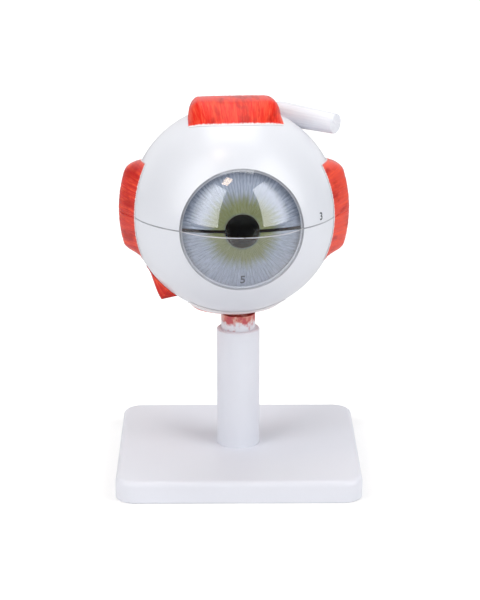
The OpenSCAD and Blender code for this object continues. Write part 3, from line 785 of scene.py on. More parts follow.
def cornea_rim_material():
    """Frosted rim of the cornea, which ends in a thin grey line of painted shade on either side."""
    colours, globe = settings().colours, settings().globe
    limbus = globe.limbus_r
    material, tree, shader = moulded("cornea_frosted_rim", colours.rim, 0.5, 0.08)
    radius, _ = line_distances(tree, eye_axes()[:, 2])
    inside = limbus - globe.cornea_wall - globe.cornea_band
    # painted shade: a line at the band's inner edge for the dark edge of refraction, and one at the
    # rim's outer edge for the shadow in the gap to the sclera
    inner = ramp_value(tree, radius, inside + 0.5 * MM, inside + 0.9 * MM, 1.0, 0.0)
    outer = ramp_value(tree, radius, limbus - 0.25 * MM, limbus - 0.1 * MM)
    line = maths(tree, "MULTIPLY", maths(tree, "MAXIMUM", inner, outer), 0.75)
    paint_over(tree, shader, line, colours.rim_line)
    return material


def peg_material():
    """White peg with red paint rubbed off on it under the lower muscle."""
    colours = settings().colours
    material, tree, shader = moulded("peg_plastic", colours.stand, 0.35, 0.05)
    smear = noise(tree, stretched(tree, object_vector(tree), (1.0, 1.0, 0.8)), 170.0, 4.0, 0.65)
    height = row_height(tree)
    top = settings().globe.neck_seat
    level = ramp_value(tree, height, top - 7.0 * MM, top - 1.5 * MM, -0.12, 0.14)
    mask = maths(tree, "MULTIPLY",
                 ramp_value(tree, maths(tree, "ADD", smear, level), 0.42, 0.66),
                 ramp_value(tree, height, top - 12.0 * MM, top - 7.0 * MM))
    tone = blend(tree, ramp_value(tree, smear, 0.42, 0.6), colours.stain_pale,
                 colours.stain_red)
    paint_over(tree, shader, maths(tree, "MULTIPLY", mask, 0.9), tone)
    return material


def tendon_material():
    """White tendon with faint grey strands along it."""
    colours = settings().colours
    material, tree, shader = new_material(
        "tendon_white", Roughness=0.34, Specular_IOR_Level=0.5, Coat_Weight=0.15
    )
    flat = node(tree, "ShaderNodeUVMap", uv_map=SURFACE).outputs[0]
    strands = noise(tree, stretched(tree, flat, (0.04, 1.0, 0.0)), 0.8, 3.0, 0.6)
    tree.links.new(blend(tree, ramp_value(tree, strands, 0.35, 0.7), colours.tendon_strand,
                         colours.tendon), shader.inputs["Base Color"])
    bump(tree, shader, strands, 0.0002, 0.3)
    return material


def choroid_material():
    """Dark brown coat with red vessels winding over it."""
    colours = settings().colours
    material, tree, shader = new_material("choroid_brown", Roughness=0.38)
    place = object_vector(tree)
    wide = group_node(tree, branching_group, {"Vector": place, "Scale": 75.0, "Width": 0.09})
    fine = group_node(tree, branching_group, {"Vector": place, "Scale": 190.0, "Width": 0.06})
    cloud = noise(tree, place, 45.0, 3.0)
    ground = blend(tree, ramp_value(tree, cloud, 0.3, 0.7), colours.choroid,
                   tuple(c * 1.5 for c in colours.choroid))
    veined = blend(tree, maths(tree, "MULTIPLY", fine["Mask"], 0.45), ground,
                   colours.choroid_vein)
    tree.links.new(blend(tree, maths(tree, "MULTIPLY", wide["Mask"], 0.85), veined,
                         colours.choroid_vein), shader.inputs["Base Color"])
    bump(tree, shader, wide["Height"], 0.00025)
    return material


def retina_material():
    """Orange retina, mottled, with fine vessels."""
    colours = settings().colours
    material, tree, shader = new_material("retina_orange", Roughness=0.42)
    place = object_vector(tree)
    fine = group_node(tree, branching_group, {"Vector": place, "Scale": 120.0, "Width": 0.035})
    cloud = noise(tree, place, 70.0, 4.0)
    ground = blend(tree, ramp_value(tree, cloud, 0.3, 0.7), colours.retina,
                   tuple(min(1.0, c * 1.25) for c in colours.retina))
    tree.links.new(blend(tree, maths(tree, "MULTIPLY", fine["Mask"], 0.5), ground,
                         colours.artery), shader.inputs["Base Color"])
    return material


def nerve_material():
    """Cream sheath outside, yellow bundle inside, by the distance from the nerve's axis."""
    colours = settings().colours
    material, tree, shader = new_material("nerve_cream", Roughness=0.4)
    radius, _ = line_distances(tree, eye_axes() @ NERVE_WAY)
    core = ramp_value(tree, radius, NERVE_CORE_R + 0.05 * MM, NERVE_CORE_R - 0.05 * MM)
    grain = noise(tree, object_vector(tree), 420.0, 3.0)
    bundle = blend(tree, ramp_value(tree, grain, 0.4, 0.65), colours.nerve_core,
                   tuple(c * 0.72 for c in colours.nerve_core))
    vessel = ramp_value(tree, radius, 1.5 * MM, 1.2 * MM)
    marked = blend(tree, vessel, bundle, colours.artery)
    tree.links.new(blend(tree, core, colours.nerve, marked), shader.inputs["Base Color"])
    bump(tree, shader, grain, 0.0001)
    return material


def give(names, material):
    """Puts one material on every face of CAD nodes that are kept."""
    for name in names:
        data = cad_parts[name].data
        data.materials.clear()
        data.materials.append(material)


# ---------- Straight muscles ----------

FULL_CROSS = (-1.0, 1.0)
UPPER_HALF = (0.0, 1.0)
LOWER_HALF = (-1.0, 0.0)
TOP_WAY = np.array([[0, 1, 0], [-1, 0, 0], [0, 0, 1]], float)
BOTTOM_WAY = np.array([[0, -1, 0], [1, 0, 0], [0, 0, 1]], float)
NASAL_WAY = np.array([[1, 0, 0], [0, 1, 0], [0, 0, 1]], float)
TEMPLE_WAY = np.array([[-1, 0, 0], [0, -1, 0], [0, 0, 1]], float)
RECTUS_POWER = 1.3
RAMP_BLEND = 0.02
SIDE_FALL = 1.7
FIBRE_PITCHES = (1.9, 2.7, 4.1, 6.3)  # mm
FIBRE_DRIFT = 2.5     # radians that a fibre's phase drifts along the muscle, either way
PATTERN_SHIFT = 37.0  # mm between the brush strokes of two muscles
PIN_RUN = math.radians(12)  # the pins' place behind the frontal plane
PIN_DEPTH = 0.53      # and in the muscle's thickness
PIN_R = 1.3 * MM
PIN_HALF = 6.0 * MM
PIN_FIT = 0.1 * MM
SPIGOT_BORE_R = 5.8 * MM
SHOULDER_FIT = 0.5 * MM
CUTTER_REACH = 30 * MM

Rectus = namedtuple("Rectus", "name body way front ramp bow width thick hollow span")


def soft_limit(value):
    """The lesser of a rising value and 1, with a soft bend between them."""
    return (1 + value - np.sqrt((1 - value) ** 2 + RAMP_BLEND)) / 2


def run_share(along, ramp, power):
    """Thickness share along a muscle: a steepening ramp, then nearly level to the rear."""
    thin = 1 - settings().muscles.rear_thin * along ** 4
    return soft_limit((along / ramp) ** power) * thin


def cross_share(across):
    """Thickness share across a muscle: level over the shelf, then a rounded fall."""
    shelf = settings().muscles.shelf
    past = np.clip((np.abs(across) - shelf) / (1 - shelf), 0, 1)
    return 1 - past ** SIDE_FALL


def fibre_waves(across_mm, along, seed):
    """Heights of moulded fibres: sines across the muscle whose phases drift along it."""
    random = np.random.default_rng(seed)
    total = np.zeros(np.broadcast(across_mm, along).shape)
    for pitch in FIBRE_PITCHES:
        start, drift = random.uniform(0, 2 * np.pi), random.uniform(-FIBRE_DRIFT, FIBRE_DRIFT)
        total += np.sin(2 * np.pi * across_mm / pitch + start + drift * along)
    return total / len(FIBRE_PITCHES)


def strap_points(way, run, cross, radius):
    """Points run along a great circle and cross to its side, at a radius from the centre."""
    ahead = np.sin(run)[..., None] * way[0] + np.cos(run)[..., None] * way[2]
    aside = np.sin(cross)[..., None] * way[1]
    return radius[..., None] * (np.cos(cross)[..., None] * ahead + aside)


def strap_skins(way, start, size, width, thick, hollow, span, seed, rows=110, cols=97):
    """Seat and outer grids of a muscle, with its surface coordinates.

    size holds length, ramp, bow and slant in radians and the ramp's power. The outer face
    lies thick over the ball, times the shares along and across, plus a hollow that grows
    with the square of the distance from the middle, fibres, and a rounded rear edge.
    """
    globe, muscles = settings().globe, settings().muscles
    along = np.linspace(0, 1, rows)[:, None]
    across = np.linspace(span[0], span[1], cols)[None, :]
    half_w = (width[0] + (width[1] - width[0]) * along ** 2) / 2
    cross = np.arcsin(across * half_w / globe.ball_r)
    bow = size[2] * across ** 2 * (1 - along)
    across_mm = across * half_w / MM
    run_mm = np.broadcast_to(size[0] * along * globe.ball_r / MM, across_mm.shape)
    shares = run_share(along, size[1] / size[0], size[4]) * cross_share(across)
    height = (thick + hollow * across ** 2) * shares
    height = height + muscles.fibre * fibre_waves(across_mm, along, seed) * np.clip(shares, 0, 1)
    to_rear = (1 - along) * (size[0] - size[3]) * globe.ball_r
    past = np.clip(1 - to_rear / muscles.bead, 0, 1)
    height = height - muscles.bead * (1 - np.sqrt(1 - past ** 2))
    if 0 in span:
        to_seam = np.abs(across_mm) * MM
        height = height - np.clip(muscles.seam - to_seam, 0, None)
    height = np.maximum(height, muscles.edge)
    seat_r = globe.ball_r + globe.seat
    seat = strap_points(way, start + size[0] * along + bow, cross, seat_r + 0 * height)
    outer = strap_points(way, start + (size[0] - size[3]) * along + bow, cross, seat_r + height)
    side_mm = (1 - np.abs(across)) * half_w / MM
    uv = np.stack([run_mm, across_mm + seed * PATTERN_SHIFT], axis=-1).reshape(-1, 2)
    return seat, outer, uv, np.broadcast_to(side_mm, height.shape).reshape(-1)


def muscle_piece(name, body, material, skins):
    """Muscle between its two grids, which stands for the CAD node of the same name."""
    seat, outer, uv, side = skins
    return new_piece(
        name + "_painted", two_skins(eye_to_row(seat), eye_to_row(outer)), body,
        [material], np.concatenate([uv, uv]), np.concatenate([side, side]), [name],
    )


def pin_cutter(side, fit):
    """Upright bore for a parting pin in a side muscle, centred on the parting plane.

    A rectangle of the pin's radius and half length, each grown by the fit, is turned round
    the pin's axis.
    """
    globe, muscles = settings().globe, settings().muscles
    radius, reach = PIN_R + fit, PIN_HALF + fit
    profile = np.array([[0, -reach], [radius, -reach], [radius, reach], [0, reach]])
    points, quads = lathe(profile, 40)
    points = np.stack([points[:, 0], points[:, 2], points[:, 1]], axis=-1)
    middle = globe.ball_r + muscles.side_t * PIN_DEPTH
    points = points + np.array([side * middle, 0.0, 0.0])
    turn = side * PIN_RUN
    turned = np.array([
        [math.cos(turn), 0, math.sin(turn)],
        [0, 1, 0],
        [-math.sin(turn), 0, math.cos(turn)],
    ])
    return eye_to_row(points @ turned.T), quads


def neck_cutter():
    """Bore for the peg's spigot and the recess for its shoulder, on the stem's axis.

    A stepped profile, wide below the seat and narrow above it, is turned round that axis.
    """
    peg_low, peg_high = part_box("neck_peg")
    seat_z = settings().globe.neck_seat
    wide, narrow = (peg_high[0] - peg_low[0]) / 2 + SHOULDER_FIT, SPIGOT_BORE_R
    low, high = seat_z - CUTTER_REACH, seat_z + CUTTER_REACH
    profile = np.array([
        [0, low], [wide, low], [wide, seat_z], [narrow, seat_z], [narrow, high], [0, high]
    ])
    points, quads = lathe(profile, 72)
    return points + np.array([0, (peg_low[1] + peg_high[1]) / 2, 0]), quads


def straight_muscles():
    """The six pieces of the straight muscles, with front, ramp and bow in degrees.

    The temple's direction counts its width downwards, so its halves have swapped spans.
    """
    sizes = settings().muscles
    side = {"ramp": 17, "thick": sizes.side_t, "hollow": 0.9 * MM}
    medial = {"way": NASAL_WAY, "front": 25, "bow": 0, **side}
    lateral = {"way": TEMPLE_WAY, "front": 16.5, "bow": 4, **side}
    upper = {"body": "upper_globe", "width": sizes.side_w}
    lower = {"body": "lower_globe", "width": sizes.side_low_w}
    return (
        Rectus("superior_rectus", "upper_globe", TOP_WAY, 26, 17, 8.5, sizes.superior_w,
               sizes.superior_t, 5.2 * MM, FULL_CROSS),
        Rectus("inferior_rectus", "lower_globe", BOTTOM_WAY, 24, 29, 0, sizes.inferior_w,
               sizes.inferior_t, 2 * MM, FULL_CROSS),
        Rectus("medial_rectus_upper", span=UPPER_HALF, **medial, **upper),
        Rectus("medial_rectus_lower", span=LOWER_HALF, **medial, **lower),
        Rectus("lateral_rectus_upper", span=LOWER_HALF, **lateral, **upper),
        Rectus("lateral_rectus_lower", span=UPPER_HALF, **lateral, **lower),
    )


# ---------- Oblique muscles ----------

OBLIQUE_FROM = np.array([-0.83, -0.55, -0.03])
OBLIQUE_TO = np.array([-0.55, -0.83, 0.08])
OBLIQUE_REACH = 1.3  # its ramp would end this far along, so it still grows at the cut
OBLIQUE_POWER = 1.7
OBLIQUE_SLANT = math.radians(5)
TENDON_WAY = np.array([29.8, -2.1, 23.4])
TENDON_RUN = math.radians(90 + 31)
TENDON_CROSS = math.radians(-26)
STRAND_R_MM = 6  # radius at which the strands are measured round the tendon


def way_between(first, last):
    """Travel, side and start directions of a strap that runs from one to another."""
    start = unit(first)
    travel = unit(last - (last @ start) * start)
    return np.array([travel, np.cross(start, travel), start])


def lower_oblique_skins():
    """Grids of the lower oblique, which still grows thicker at its slanted cut end."""
    sizes = settings().muscles
    way = way_between(OBLIQUE_FROM, OBLIQUE_TO)
    reach = math.acos(float(unit(OBLIQUE_FROM) @ unit(OBLIQUE_TO)))
    end_share = float(run_share(np.float64(1.0), OBLIQUE_REACH, OBLIQUE_POWER))
    return strap_skins(
        way, 0.0, (reach, reach * OBLIQUE_REACH, 0.0, OBLIQUE_SLANT, OBLIQUE_POWER),
        (sizes.oblique_w, sizes.oblique_w), sizes.oblique_t / end_share, 0.0, FULL_CROSS, 9,
        rows=60, cols=65,
    )


def tendon_shape(sides=96):
    """Tendon: a profile turned round a straight axis that lies just over the sclera.

    The profile rises by a quarter ellipse over the rounded root, tapers in a straight line
    and ends in a quarter circle at the free end.
    """
    globe, sizes = settings().globe, settings().tendon
    total = sizes.back + sizes.reach
    turn = np.linspace(0, np.pi / 2, 25)
    nose = np.stack([np.sin(turn) * sizes.root_d / 2, (1 - np.cos(turn)) * sizes.nose], axis=-1)
    along = np.linspace(0, 1, 30)[1:-1]
    end_r = sizes.end_d / 2
    taper = np.stack([
        sizes.root_d / 2 + (end_r - sizes.root_d / 2) * along,
        sizes.nose + (total - sizes.bead - sizes.nose) * along,
    ], axis=-1)
    turn = np.linspace(0, np.pi / 2, 9)
    bead = np.stack([
        end_r - sizes.bead * (1 - np.cos(turn)), total - sizes.bead * (1 - np.sin(turn))
    ], axis=-1)
    middle = np.array([[end_r * 0.5, total], [0.0, total]])
    points, quads = lathe(np.concatenate([nose, taper, bead, middle]), sides)
    root = strap_points(TOP_WAY, np.array(TENDON_RUN), np.array(TENDON_CROSS),
                        np.array(globe.ball_r + sizes.lift))
    axis = unit(TENDON_WAY)
    aside = unit(np.cross(axis, root))
    axes = np.stack([aside, np.cross(axis, aside), axis])
    around_mm = np.arctan2(points[:, 1], points[:, 0]) * STRAND_R_MM
    surface = np.stack([points[:, 2] / MM, around_mm], axis=-1)
    placed = (points - np.array([0, 0, sizes.back])) @ axes + root
    return (eye_to_row(placed), quads), surface


def ball_cutter(rows=96, sides=192):
    """The sclera's ball with the muscles' seat gap, as a cutter."""
    turn = np.linspace(0, np.pi, rows)
    radius = settings().globe.ball_r + settings().globe.seat
    profile = np.stack([np.sin(turn) * radius, -np.cos(turn) * radius], axis=-1)
    points, quads = lathe(profile, sides)
    return points + ball_centre(), quads


# ---------- Cornea and iris ----------


def cornea_shape(upper, rings=48):
    """Half of the domed shell: outer and inner spheres, a cylindrical rim and sawn edges.

    A profile of radius and distance runs from the outer apex over the rim to the inner
    apex, and is carried over half a turn about the gaze. The kinds are 0 for clear faces,
    1 for the frosted rim and band, and 2 for the sawn edges and the strips beside them,
    which are painted whitish as the highlight that the edges catch.
    """
    globe = settings().globe
    centre_q = globe.cornea_apex - globe.cornea_r
    inner_r = globe.cornea_r - globe.cornea_wall
    widest = math.asin(globe.limbus_r / globe.cornea_r)
    inner_widest = math.acos((globe.ledge_q - centre_q) / inner_r)
    band = globe.cornea_band / inner_r
    outward = np.linspace(0, widest, rings)
    inward = np.concatenate([[inner_widest], np.linspace(inner_widest - band, 0, rings)])
    outer = np.stack([np.sin(outward), np.cos(outward)], axis=-1) * globe.cornea_r
    inner = np.stack([np.sin(inward), np.cos(inward)], axis=-1) * inner_r
    outer[:, 1] += centre_q
    inner[:, 1] += centre_q
    profile = np.concatenate([outer, [[globe.limbus_r, globe.ledge_q]], inner])
    count = len(profile)
    strip = np.arcsin(np.minimum(globe.cornea_strip / np.maximum(profile[:, 0], 1e-9), 0.5))
    share_turn = np.linspace(0, 1, 97)[:, None]
    turn = np.concatenate([
        np.zeros((1, count)), strip + (np.pi - 2 * strip) * share_turn, np.full((1, count), np.pi)
    ]) + (0 if upper else np.pi)
    points = np.stack([
        profile[:, 0] * np.cos(turn), profile[:, 0] * np.sin(turn),
        np.broadcast_to(profile[:, 1], (len(turn), count)),
    ], axis=-1)
    shell = grid_quads(len(turn), count)
    frosted = np.zeros(count - 1)
    frosted[rings - 1:rings + 2] = 1
    kinds = np.tile(frosted, (len(turn) - 1, 1))
    kinds[[0, -1]] = 2
    kinds = kinds.ravel()
    step = np.arange(rings)
    edge = np.stack([step, step + 1, count - step - 2, count - step - 1], axis=-1)
    sawn = np.concatenate([edge, edge + (len(turn) - 1) * count])
    kinds = np.concatenate([kinds, np.full(len(sawn), 2)])
    return (eye_to_row(points.reshape(-1, 3)), np.concatenate([shell, sawn])), kinds


def iris_dome():
    """Distance of the iris dome's centre along the gaze, and the dome's radius."""
    sizes = settings().iris
    rise = sizes.pupil_q - sizes.root_q
    centre_q = (sizes.pupil_r ** 2 + sizes.pupil_q ** 2 - sizes.root_r ** 2
                - sizes.root_q ** 2) / (2 * rise)
    return centre_q, math.hypot(sizes.root_r, sizes.root_q - centre_q)


def iris_shape(upper, turns=321, rings=56):
    """Half of the iris: a folded dome from the pupil to the root, its wall and cut faces.

    The front lies on a sphere through the root and the pupil's edge. Radial folds raise it
    by a sine round the gaze, which fades to the pupil, and shallow rings cross them. The cut
    faces slant, so that the two halves leave a groove between them. The kinds are 0 for
    painted faces and 1 for those cut faces.
    """
    sizes = settings().iris
    centre_q, dome_r = iris_dome()
    out = np.linspace(0, 1, rings)[None, :]
    radius = sizes.pupil_r + (sizes.root_r - sizes.pupil_r) * out
    share_turn = np.linspace(0, 1, turns)[:, None]
    sign = 1 if upper else -1

    def turns_from(gap):
        """Angles round the gaze that keep half the gap clear of the parting plane."""
        lift = np.arcsin(gap / 2 / radius)
        return lift + (np.pi - 2 * lift) * share_turn

    def dome(ball, turn):
        """Points at those angles on a sphere of the given radius about the dome's centre."""
        depth = centre_q + np.sqrt(ball ** 2 - radius ** 2)
        return np.stack([radius * np.cos(turn), sign * radius * np.sin(turn), depth], axis=-1)

    turn = turns_from(sizes.cut)
    random = np.random.default_rng(5)
    wander = sum(np.sin(turn * k + random.uniform(0, 6.28)) / k for k in (3, 5, 9, 14))
    fade = np.clip(out * 3, 0, 1) * np.clip((1 - out) * 12, 0, 1)
    folds = np.sin(sizes.folds * turn + 0.4 * wander) * fade
    rings_wave = np.sin(out * 22 + 0.7 * wander) * np.exp(-((out - 0.3) / 0.2) ** 2)
    height = sizes.relief * (0.5 * folds + 0.35 * rings_wave - 0.5)
    front = dome(dome_r + height, turn)
    back = dome(np.full(turn.shape, dome_r - sizes.wall), turns_from(sizes.groove))
    surface = np.stack([turn + (0 if upper else 4), np.broadcast_to(out, turn.shape)],
                       axis=-1).reshape(-1, 2)
    points, quads = two_skins(eye_to_row(back), eye_to_row(front))
    kinds = np.zeros(len(quads))
    skin_faces = 2 * (turns - 1) * (rings - 1)
    kinds[skin_faces:skin_faces + 2 * (rings - 1)] = 1
    return (points, quads), np.concatenate([surface, surface]), kinds


# ---------- Printed numbers ----------

SCLERA_NUMBER_WAY = np.array([43.6, 3.9, 37.2])
SCLERA_NUMBER_HEIGHT = 4.2 * MM
IRIS_NUMBER_PLACE = (0.6 * MM, -27.6 * MM)
IRIS_NUMBER_HEIGHT = 4.4 * MM
SCLERA_INK = 0.05 * MM
IRIS_INK = 0.12 * MM


def number_mesh(text, height):
    """Points, in the plane of the print, and mesh of a slab with the outline of a number.

    The slab's third coordinate is -1 on its hidden face and 1 on its printed face. Digits
    fill 1 / 1.4 of the type's size.
    """
    curve = bpy.data.curves.new("number", "FONT")
    curve.body = text
    curve.align_x, curve.align_y = "CENTER", "CENTER"
    curve.extrude = 1.0
    curve.size = height * 1.4
    curve.offset = height * 0.025
    source = in_scene("number", curve)
    bpy.context.view_layer.update()
    mesh = bpy.data.meshes.new_from_object(source)
    bpy.data.objects.remove(source)
    bpy.data.curves.remove(curve)
    points = np.empty(len(mesh.vertices) * 3, np.float32)
    mesh.vertices.foreach_get("co", points)
    return points.reshape(-1, 3).astype(float), mesh


def finish_number(name, mesh, points, body):
    """Puts a number's moved points back into its mesh and makes it a piece in ink."""
    mesh.name = name
    mesh.vertices.foreach_set("co", eye_to_row(points).astype(np.float32).ravel())
    close_mesh(mesh)
    mesh.materials.clear()
    mesh.materials.append(ink_material())
    piece = in_scene(name, mesh)
    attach(piece, body)


def number_on_sclera():
    """Number laid on the ball: plane points are tangent to it and pushed to its radius."""
    radius = settings().globe.ball_r
    points, mesh = number_mesh("3", SCLERA_NUMBER_HEIGHT)
    ahead = unit(SCLERA_NUMBER_WAY)
    right = unit(np.cross([0.0, 1.0, 0.0], ahead))
    up = np.cross(ahead, right)
    flat = ahead * radius + points[:, :1] * right + points[:, 1:2] * up
    placed = unit(flat) * (radius + SCLERA_INK * points[:, 2:])
    finish_number("number_on_sclera", mesh, placed, "upper_globe")


def number_on_iris():
    """Number laid on the lower iris: plane points are carried along the gaze to its dome."""
    sizes = settings().iris
    points, mesh = number_mesh("5", IRIS_NUMBER_HEIGHT)
    across, up = points[:, 0] + IRIS_NUMBER_PLACE[0], points[:, 1] + IRIS_NUMBER_PLACE[1]
    centre_q, dome_r = iris_dome()
    depth = centre_q + np.sqrt(dome_r ** 2 - across ** 2 - up ** 2)
    depth = depth + (points[:, 2] * 0.5 + 0.5) * IRIS_INK - sizes.relief * 0.4
    placed = np.stack([across, up, depth], axis=-1)
    finish_number("number_on_iris", mesh, placed, "lower_inner")


# ---------- Retinal vessels ----------

VESSELS = np.array([
    # direction round the disc, bend, reach (degrees), radius (mm), 0 artery or 1 vein
    [34, 12, 104, 0.55, 0], [100, 50, 98, 0.62, 1], [118, -52, 88, 0.5, 0], [134, -44, 80, 0.56, 1],
    [24, 30, 60, 0.34, 0], [16, 20, 74, 0.36, 1], [156, -20, 62, 0.32, 0], [168, -8, 48, 0.3, 1],
    [96, 30, 84, 0.3, 0], [104, -24, 76, 0.32, 1], [8, 14, 70, 0.28, 0], [142, -70, 66, 0.28, 1],
])
VESSEL_STEPS = 90
VESSEL_SIDES = 10
VESSEL_HEIGHT = 0.2 * MM
DISC_ANGLE = 4      # degrees from the nerve's line at which the vessels start
PHASE_STEP = 1.9    # radians between the sways of two vessels
SEAM_LIFT = 0.02    # sine of the least angle over the parting plane


def vessel_shape(upper):
    """Tubes that leave the nerve's disc and arch over the retina, half sunk into it.

    A vessel's angle from the disc grows with its share of the run, its direction turns by
    the bend times the share and sways by a sine, and its radius tapers to a point.
    """
    globe = settings().globe
    table = VESSELS[:, :, None]
    run = np.linspace(0, 1, VESSEL_STEPS)
    phase = np.arange(len(VESSELS))[:, None] * PHASE_STEP
    polar = np.radians(DISC_ANGLE + (table[:, 2] - DISC_ANGLE) * run)
    sway = 3.0 * np.sin(run * 15 + phase) * np.sqrt(run) / (0.3 + np.sin(polar))
    around = np.radians(table[:, 0] + table[:, 1] * run ** 1.4 * 0.6 + sway)
    sign = 1.0 if upper else -1.0
    up = np.array([0.0, sign, 0.0])
    outward = np.sin(around)[..., None] * up - np.cos(around)[..., None] * NERVE_SIDE
    ahead = np.cos(polar)[..., None] * NERVE_WAY + np.sin(polar)[..., None] * outward
    lift = np.maximum(sign * ahead[..., 1:2], SEAM_LIFT) - sign * ahead[..., 1:2]
    ahead = unit(ahead + lift * up)
    travel = unit(np.gradient(ahead, axis=1))
    aside = unit(np.cross(ahead, travel))
    radius = table[:, 3] * MM * np.sqrt(np.clip(run * 12, 0, 1)) * (1 - run ** 3) ** 0.5
    turn = np.linspace(0, 2 * np.pi, VESSEL_SIDES, endpoint=False)
    height = np.minimum(radius * 0.6, VESSEL_HEIGHT)[..., None, None]
    tube = (globe.vessel_ball_r * ahead[:, :, None]
            + np.cos(turn)[:, None] * radius[..., None, None] * aside[:, :, None]
            + np.sin(turn)[:, None] * height * ahead[:, :, None])
    quads = grid_quads(VESSEL_STEPS, VESSEL_SIDES, wrap=True)
    step = VESSEL_STEPS * VESSEL_SIDES
    all_quads = quads[None] + np.arange(len(VESSELS))[:, None, None] * step
    kinds = np.repeat(VESSELS[:, 4], len(quads))
    return (eye_to_row(tube).reshape(-1, 3), all_quads.reshape(-1, 4)), kinds


# ---------- Operators ----------


class EYE_OT_stand(Operator):
    """Moulded white plastic on the base, stem and peg, and steel on the screw and the pins"""

    bl_idname = "eye.stand"
    bl_label = "Stand"

    def execute(self, context):
        colours = settings().colours
        give(["base_plate"], moulded("base_plastic", colours.base, 0.34, 0.03, 0.00003)[0])
        give(["stem_tube"], moulded("stem_plastic", colours.stand, 0.3, 0.04, 0.00002)[0])
        give(["neck_peg"], peg_material())
        give(["stem_screw", "screw_washer", "parting_pins"],
             moulded("steel", colours.steel, 0.3, 0.08, 0.00001, Metallic=1.0)[0])
        return {"FINISHED"}


class EYE_OT_sclera(Operator):
    """Glossy white sclera, with its printed number"""

    bl_idname = "eye.sclera"
    bl_label = "Sclera"

    def execute(self, context):
        give(["upper_sclera", "lower_sclera"], sclera_material())
        number_on_sclera()
        return {"FINISHED"}


class EYE_OT_cornea(Operator):
    """Clear domed cornea in two halves, with sawn edges painted whitish as a highlight"""

    bl_idname = "eye.cornea"
    bl_label = "Cornea"

    def execute(self, context):
        clear = clear_material("cornea_clear", settings().colours.cornea, 0.02, True, coat=0.28)
        # the third material paints the sawn edges whitish, as their highlight
        materials = [clear, cornea_rim_material(), cornea_edge_material()]
        for half, upper in HALVES:
            shape, kinds = cornea_shape(upper)
            new_piece(half + "_cornea_dome", shape, half + "_globe", materials,
                      stands_for=[half + "_cornea"], kinds=kinds)
        return {"FINISHED"}


class EYE_OT_iris(Operator):
    """Folded iris in two halves, whose cut edges are painted dark as the shade in the gap, and its
    printed number
    """

    bl_idname = "eye.iris"
    bl_label = "Iris"

    def execute(self, context):
        materials = [iris_material(), iris_cut_material()]
        for half, upper in HALVES:
            shape, surface, kinds = iris_shape(upper)
            new_piece(half + "_iris_folded", shape, half + "_inner",
                      materials, surface, stands_for=[half + "_iris"], kinds=kinds)
        number_on_iris()
        return {"FINISHED"}


class EYE_OT_straight_muscles(Operator):
    """Straight muscles with moulded fibres and brushed red paint"""

    bl_idname = "eye.straight_muscles"
    bl_label = "Straight Muscles"

    def execute(self, context):
        colours, sizes = settings().colours, settings().muscles
        paints = {
            "superior": ("muscle_upper",
                         muscle_material("muscle_upper", colours.upper_red, 1.0, -0.4)),
            "inferior": ("muscle_lower", lower_muscle_material()),
            "medial": ("muscle_side",
                       muscle_material("muscle_nasal", colours.nasal_red, 0.35, -0.2)),
            "lateral": ("muscle_side",
                        muscle_material("muscle_side", colours.side_red, 0.35, -0.2)),
        }
        for seed, muscle in enumerate(straight_muscles()):
            which = muscle.name.split("_")[0]
            slot, paint = paints[which]
            front, ramp, bow = np.radians([muscle.front, muscle.ramp, muscle.bow]).tolist()
            size = (front + sizes.rear, ramp, bow, 0.0, RECTUS_POWER)
            width = (muscle.width, sizes.rear_w)
            skins = strap_skins(muscle.way, math.pi / 2 - front, size, width, muscle.thick,
                                muscle.hollow, muscle.span, seed)
            piece = muscle_piece(muscle.name, muscle.body, paint, skins)
            if which in ("medial", "lateral"):
                fit = PIN_FIT if muscle.body == "upper_globe" else 0.0
                cut_away(piece, pin_cutter(1 if which == "medial" else -1, fit))
            elif which == "inferior":
                cut_away(piece, neck_cutter())
        return {"FINISHED"}


class EYE_OT_oblique_muscles(Operator):
    """Lower oblique muscle and the white tendon of the upper oblique"""

    bl_idname = "eye.oblique_muscles"
    bl_label = "Oblique Muscles"

    def execute(self, context):
        paint = muscle_material("muscle_oblique", settings().colours.side_red, -3.0, -2.0)
        muscle_piece("inferior_oblique", "lower_globe", paint,
                     lower_oblique_skins())
        shape, surface = tendon_shape()
        tendon = new_piece(
            "superior_oblique_tendon_round", shape, "upper_globe",
            [tendon_material()], surface, stands_for=["superior_oblique_tendon"],
        )
        cut_away(tendon, ball_cutter())
        return {"FINISHED"}


class EYE_OT_inner_coats(Operator):
    """Choroid, retina and ciliary body inside the globe"""

    bl_idname = "eye.inner_coats"
    bl_label = "Inner Coats"

    def execute(self, context):
        colours = settings().colours
        give(["upper_choroid", "lower_choroid"], choroid_material())
        give(["upper_retina", "lower_retina"], retina_material())
        give(["upper_ciliary_body", "lower_ciliary_body"],
             moulded("ciliary_brown", colours.ciliary, 0.5, 0.3, 0.00005)[0])
        return {"FINISHED"}


class EYE_OT_vessels(Operator):
    """Arteries and veins that arch over the retina from the nerve's disc"""

    bl_idname = "eye.vessels"
    bl_label = "Retinal Vessels"

    def execute(self, context):
        colours = settings().colours
        materials = [moulded("artery_red", colours.artery, 0.35)[0],
                     moulded("vein_blue", colours.vein, 0.35)[0]]
        for half, upper in HALVES:
            shape, kinds = vessel_shape(upper)
            new_piece(half + "_vessels", shape, half + "_inner", materials,
                      kinds=kinds, merge=10 * MERGE)
        return {"FINISHED"}


class EYE_OT_clear_body(Operator):
    """Clear vitreous body and lens"""

    bl_idname = "eye.clear_body"
    bl_label = "Vitreous Body and Lens"

    def execute(self, context):
        colours = settings().colours
        give(["vitreous_front", "vitreous_rear"],
             clear_material("vitreous_clear", colours.vitreous, 0.0, False, 0.2))
        give(["lens"], clear_material("lens_clear", colours.lens, 0.0, False, 0.1))
        return {"FINISHED"}


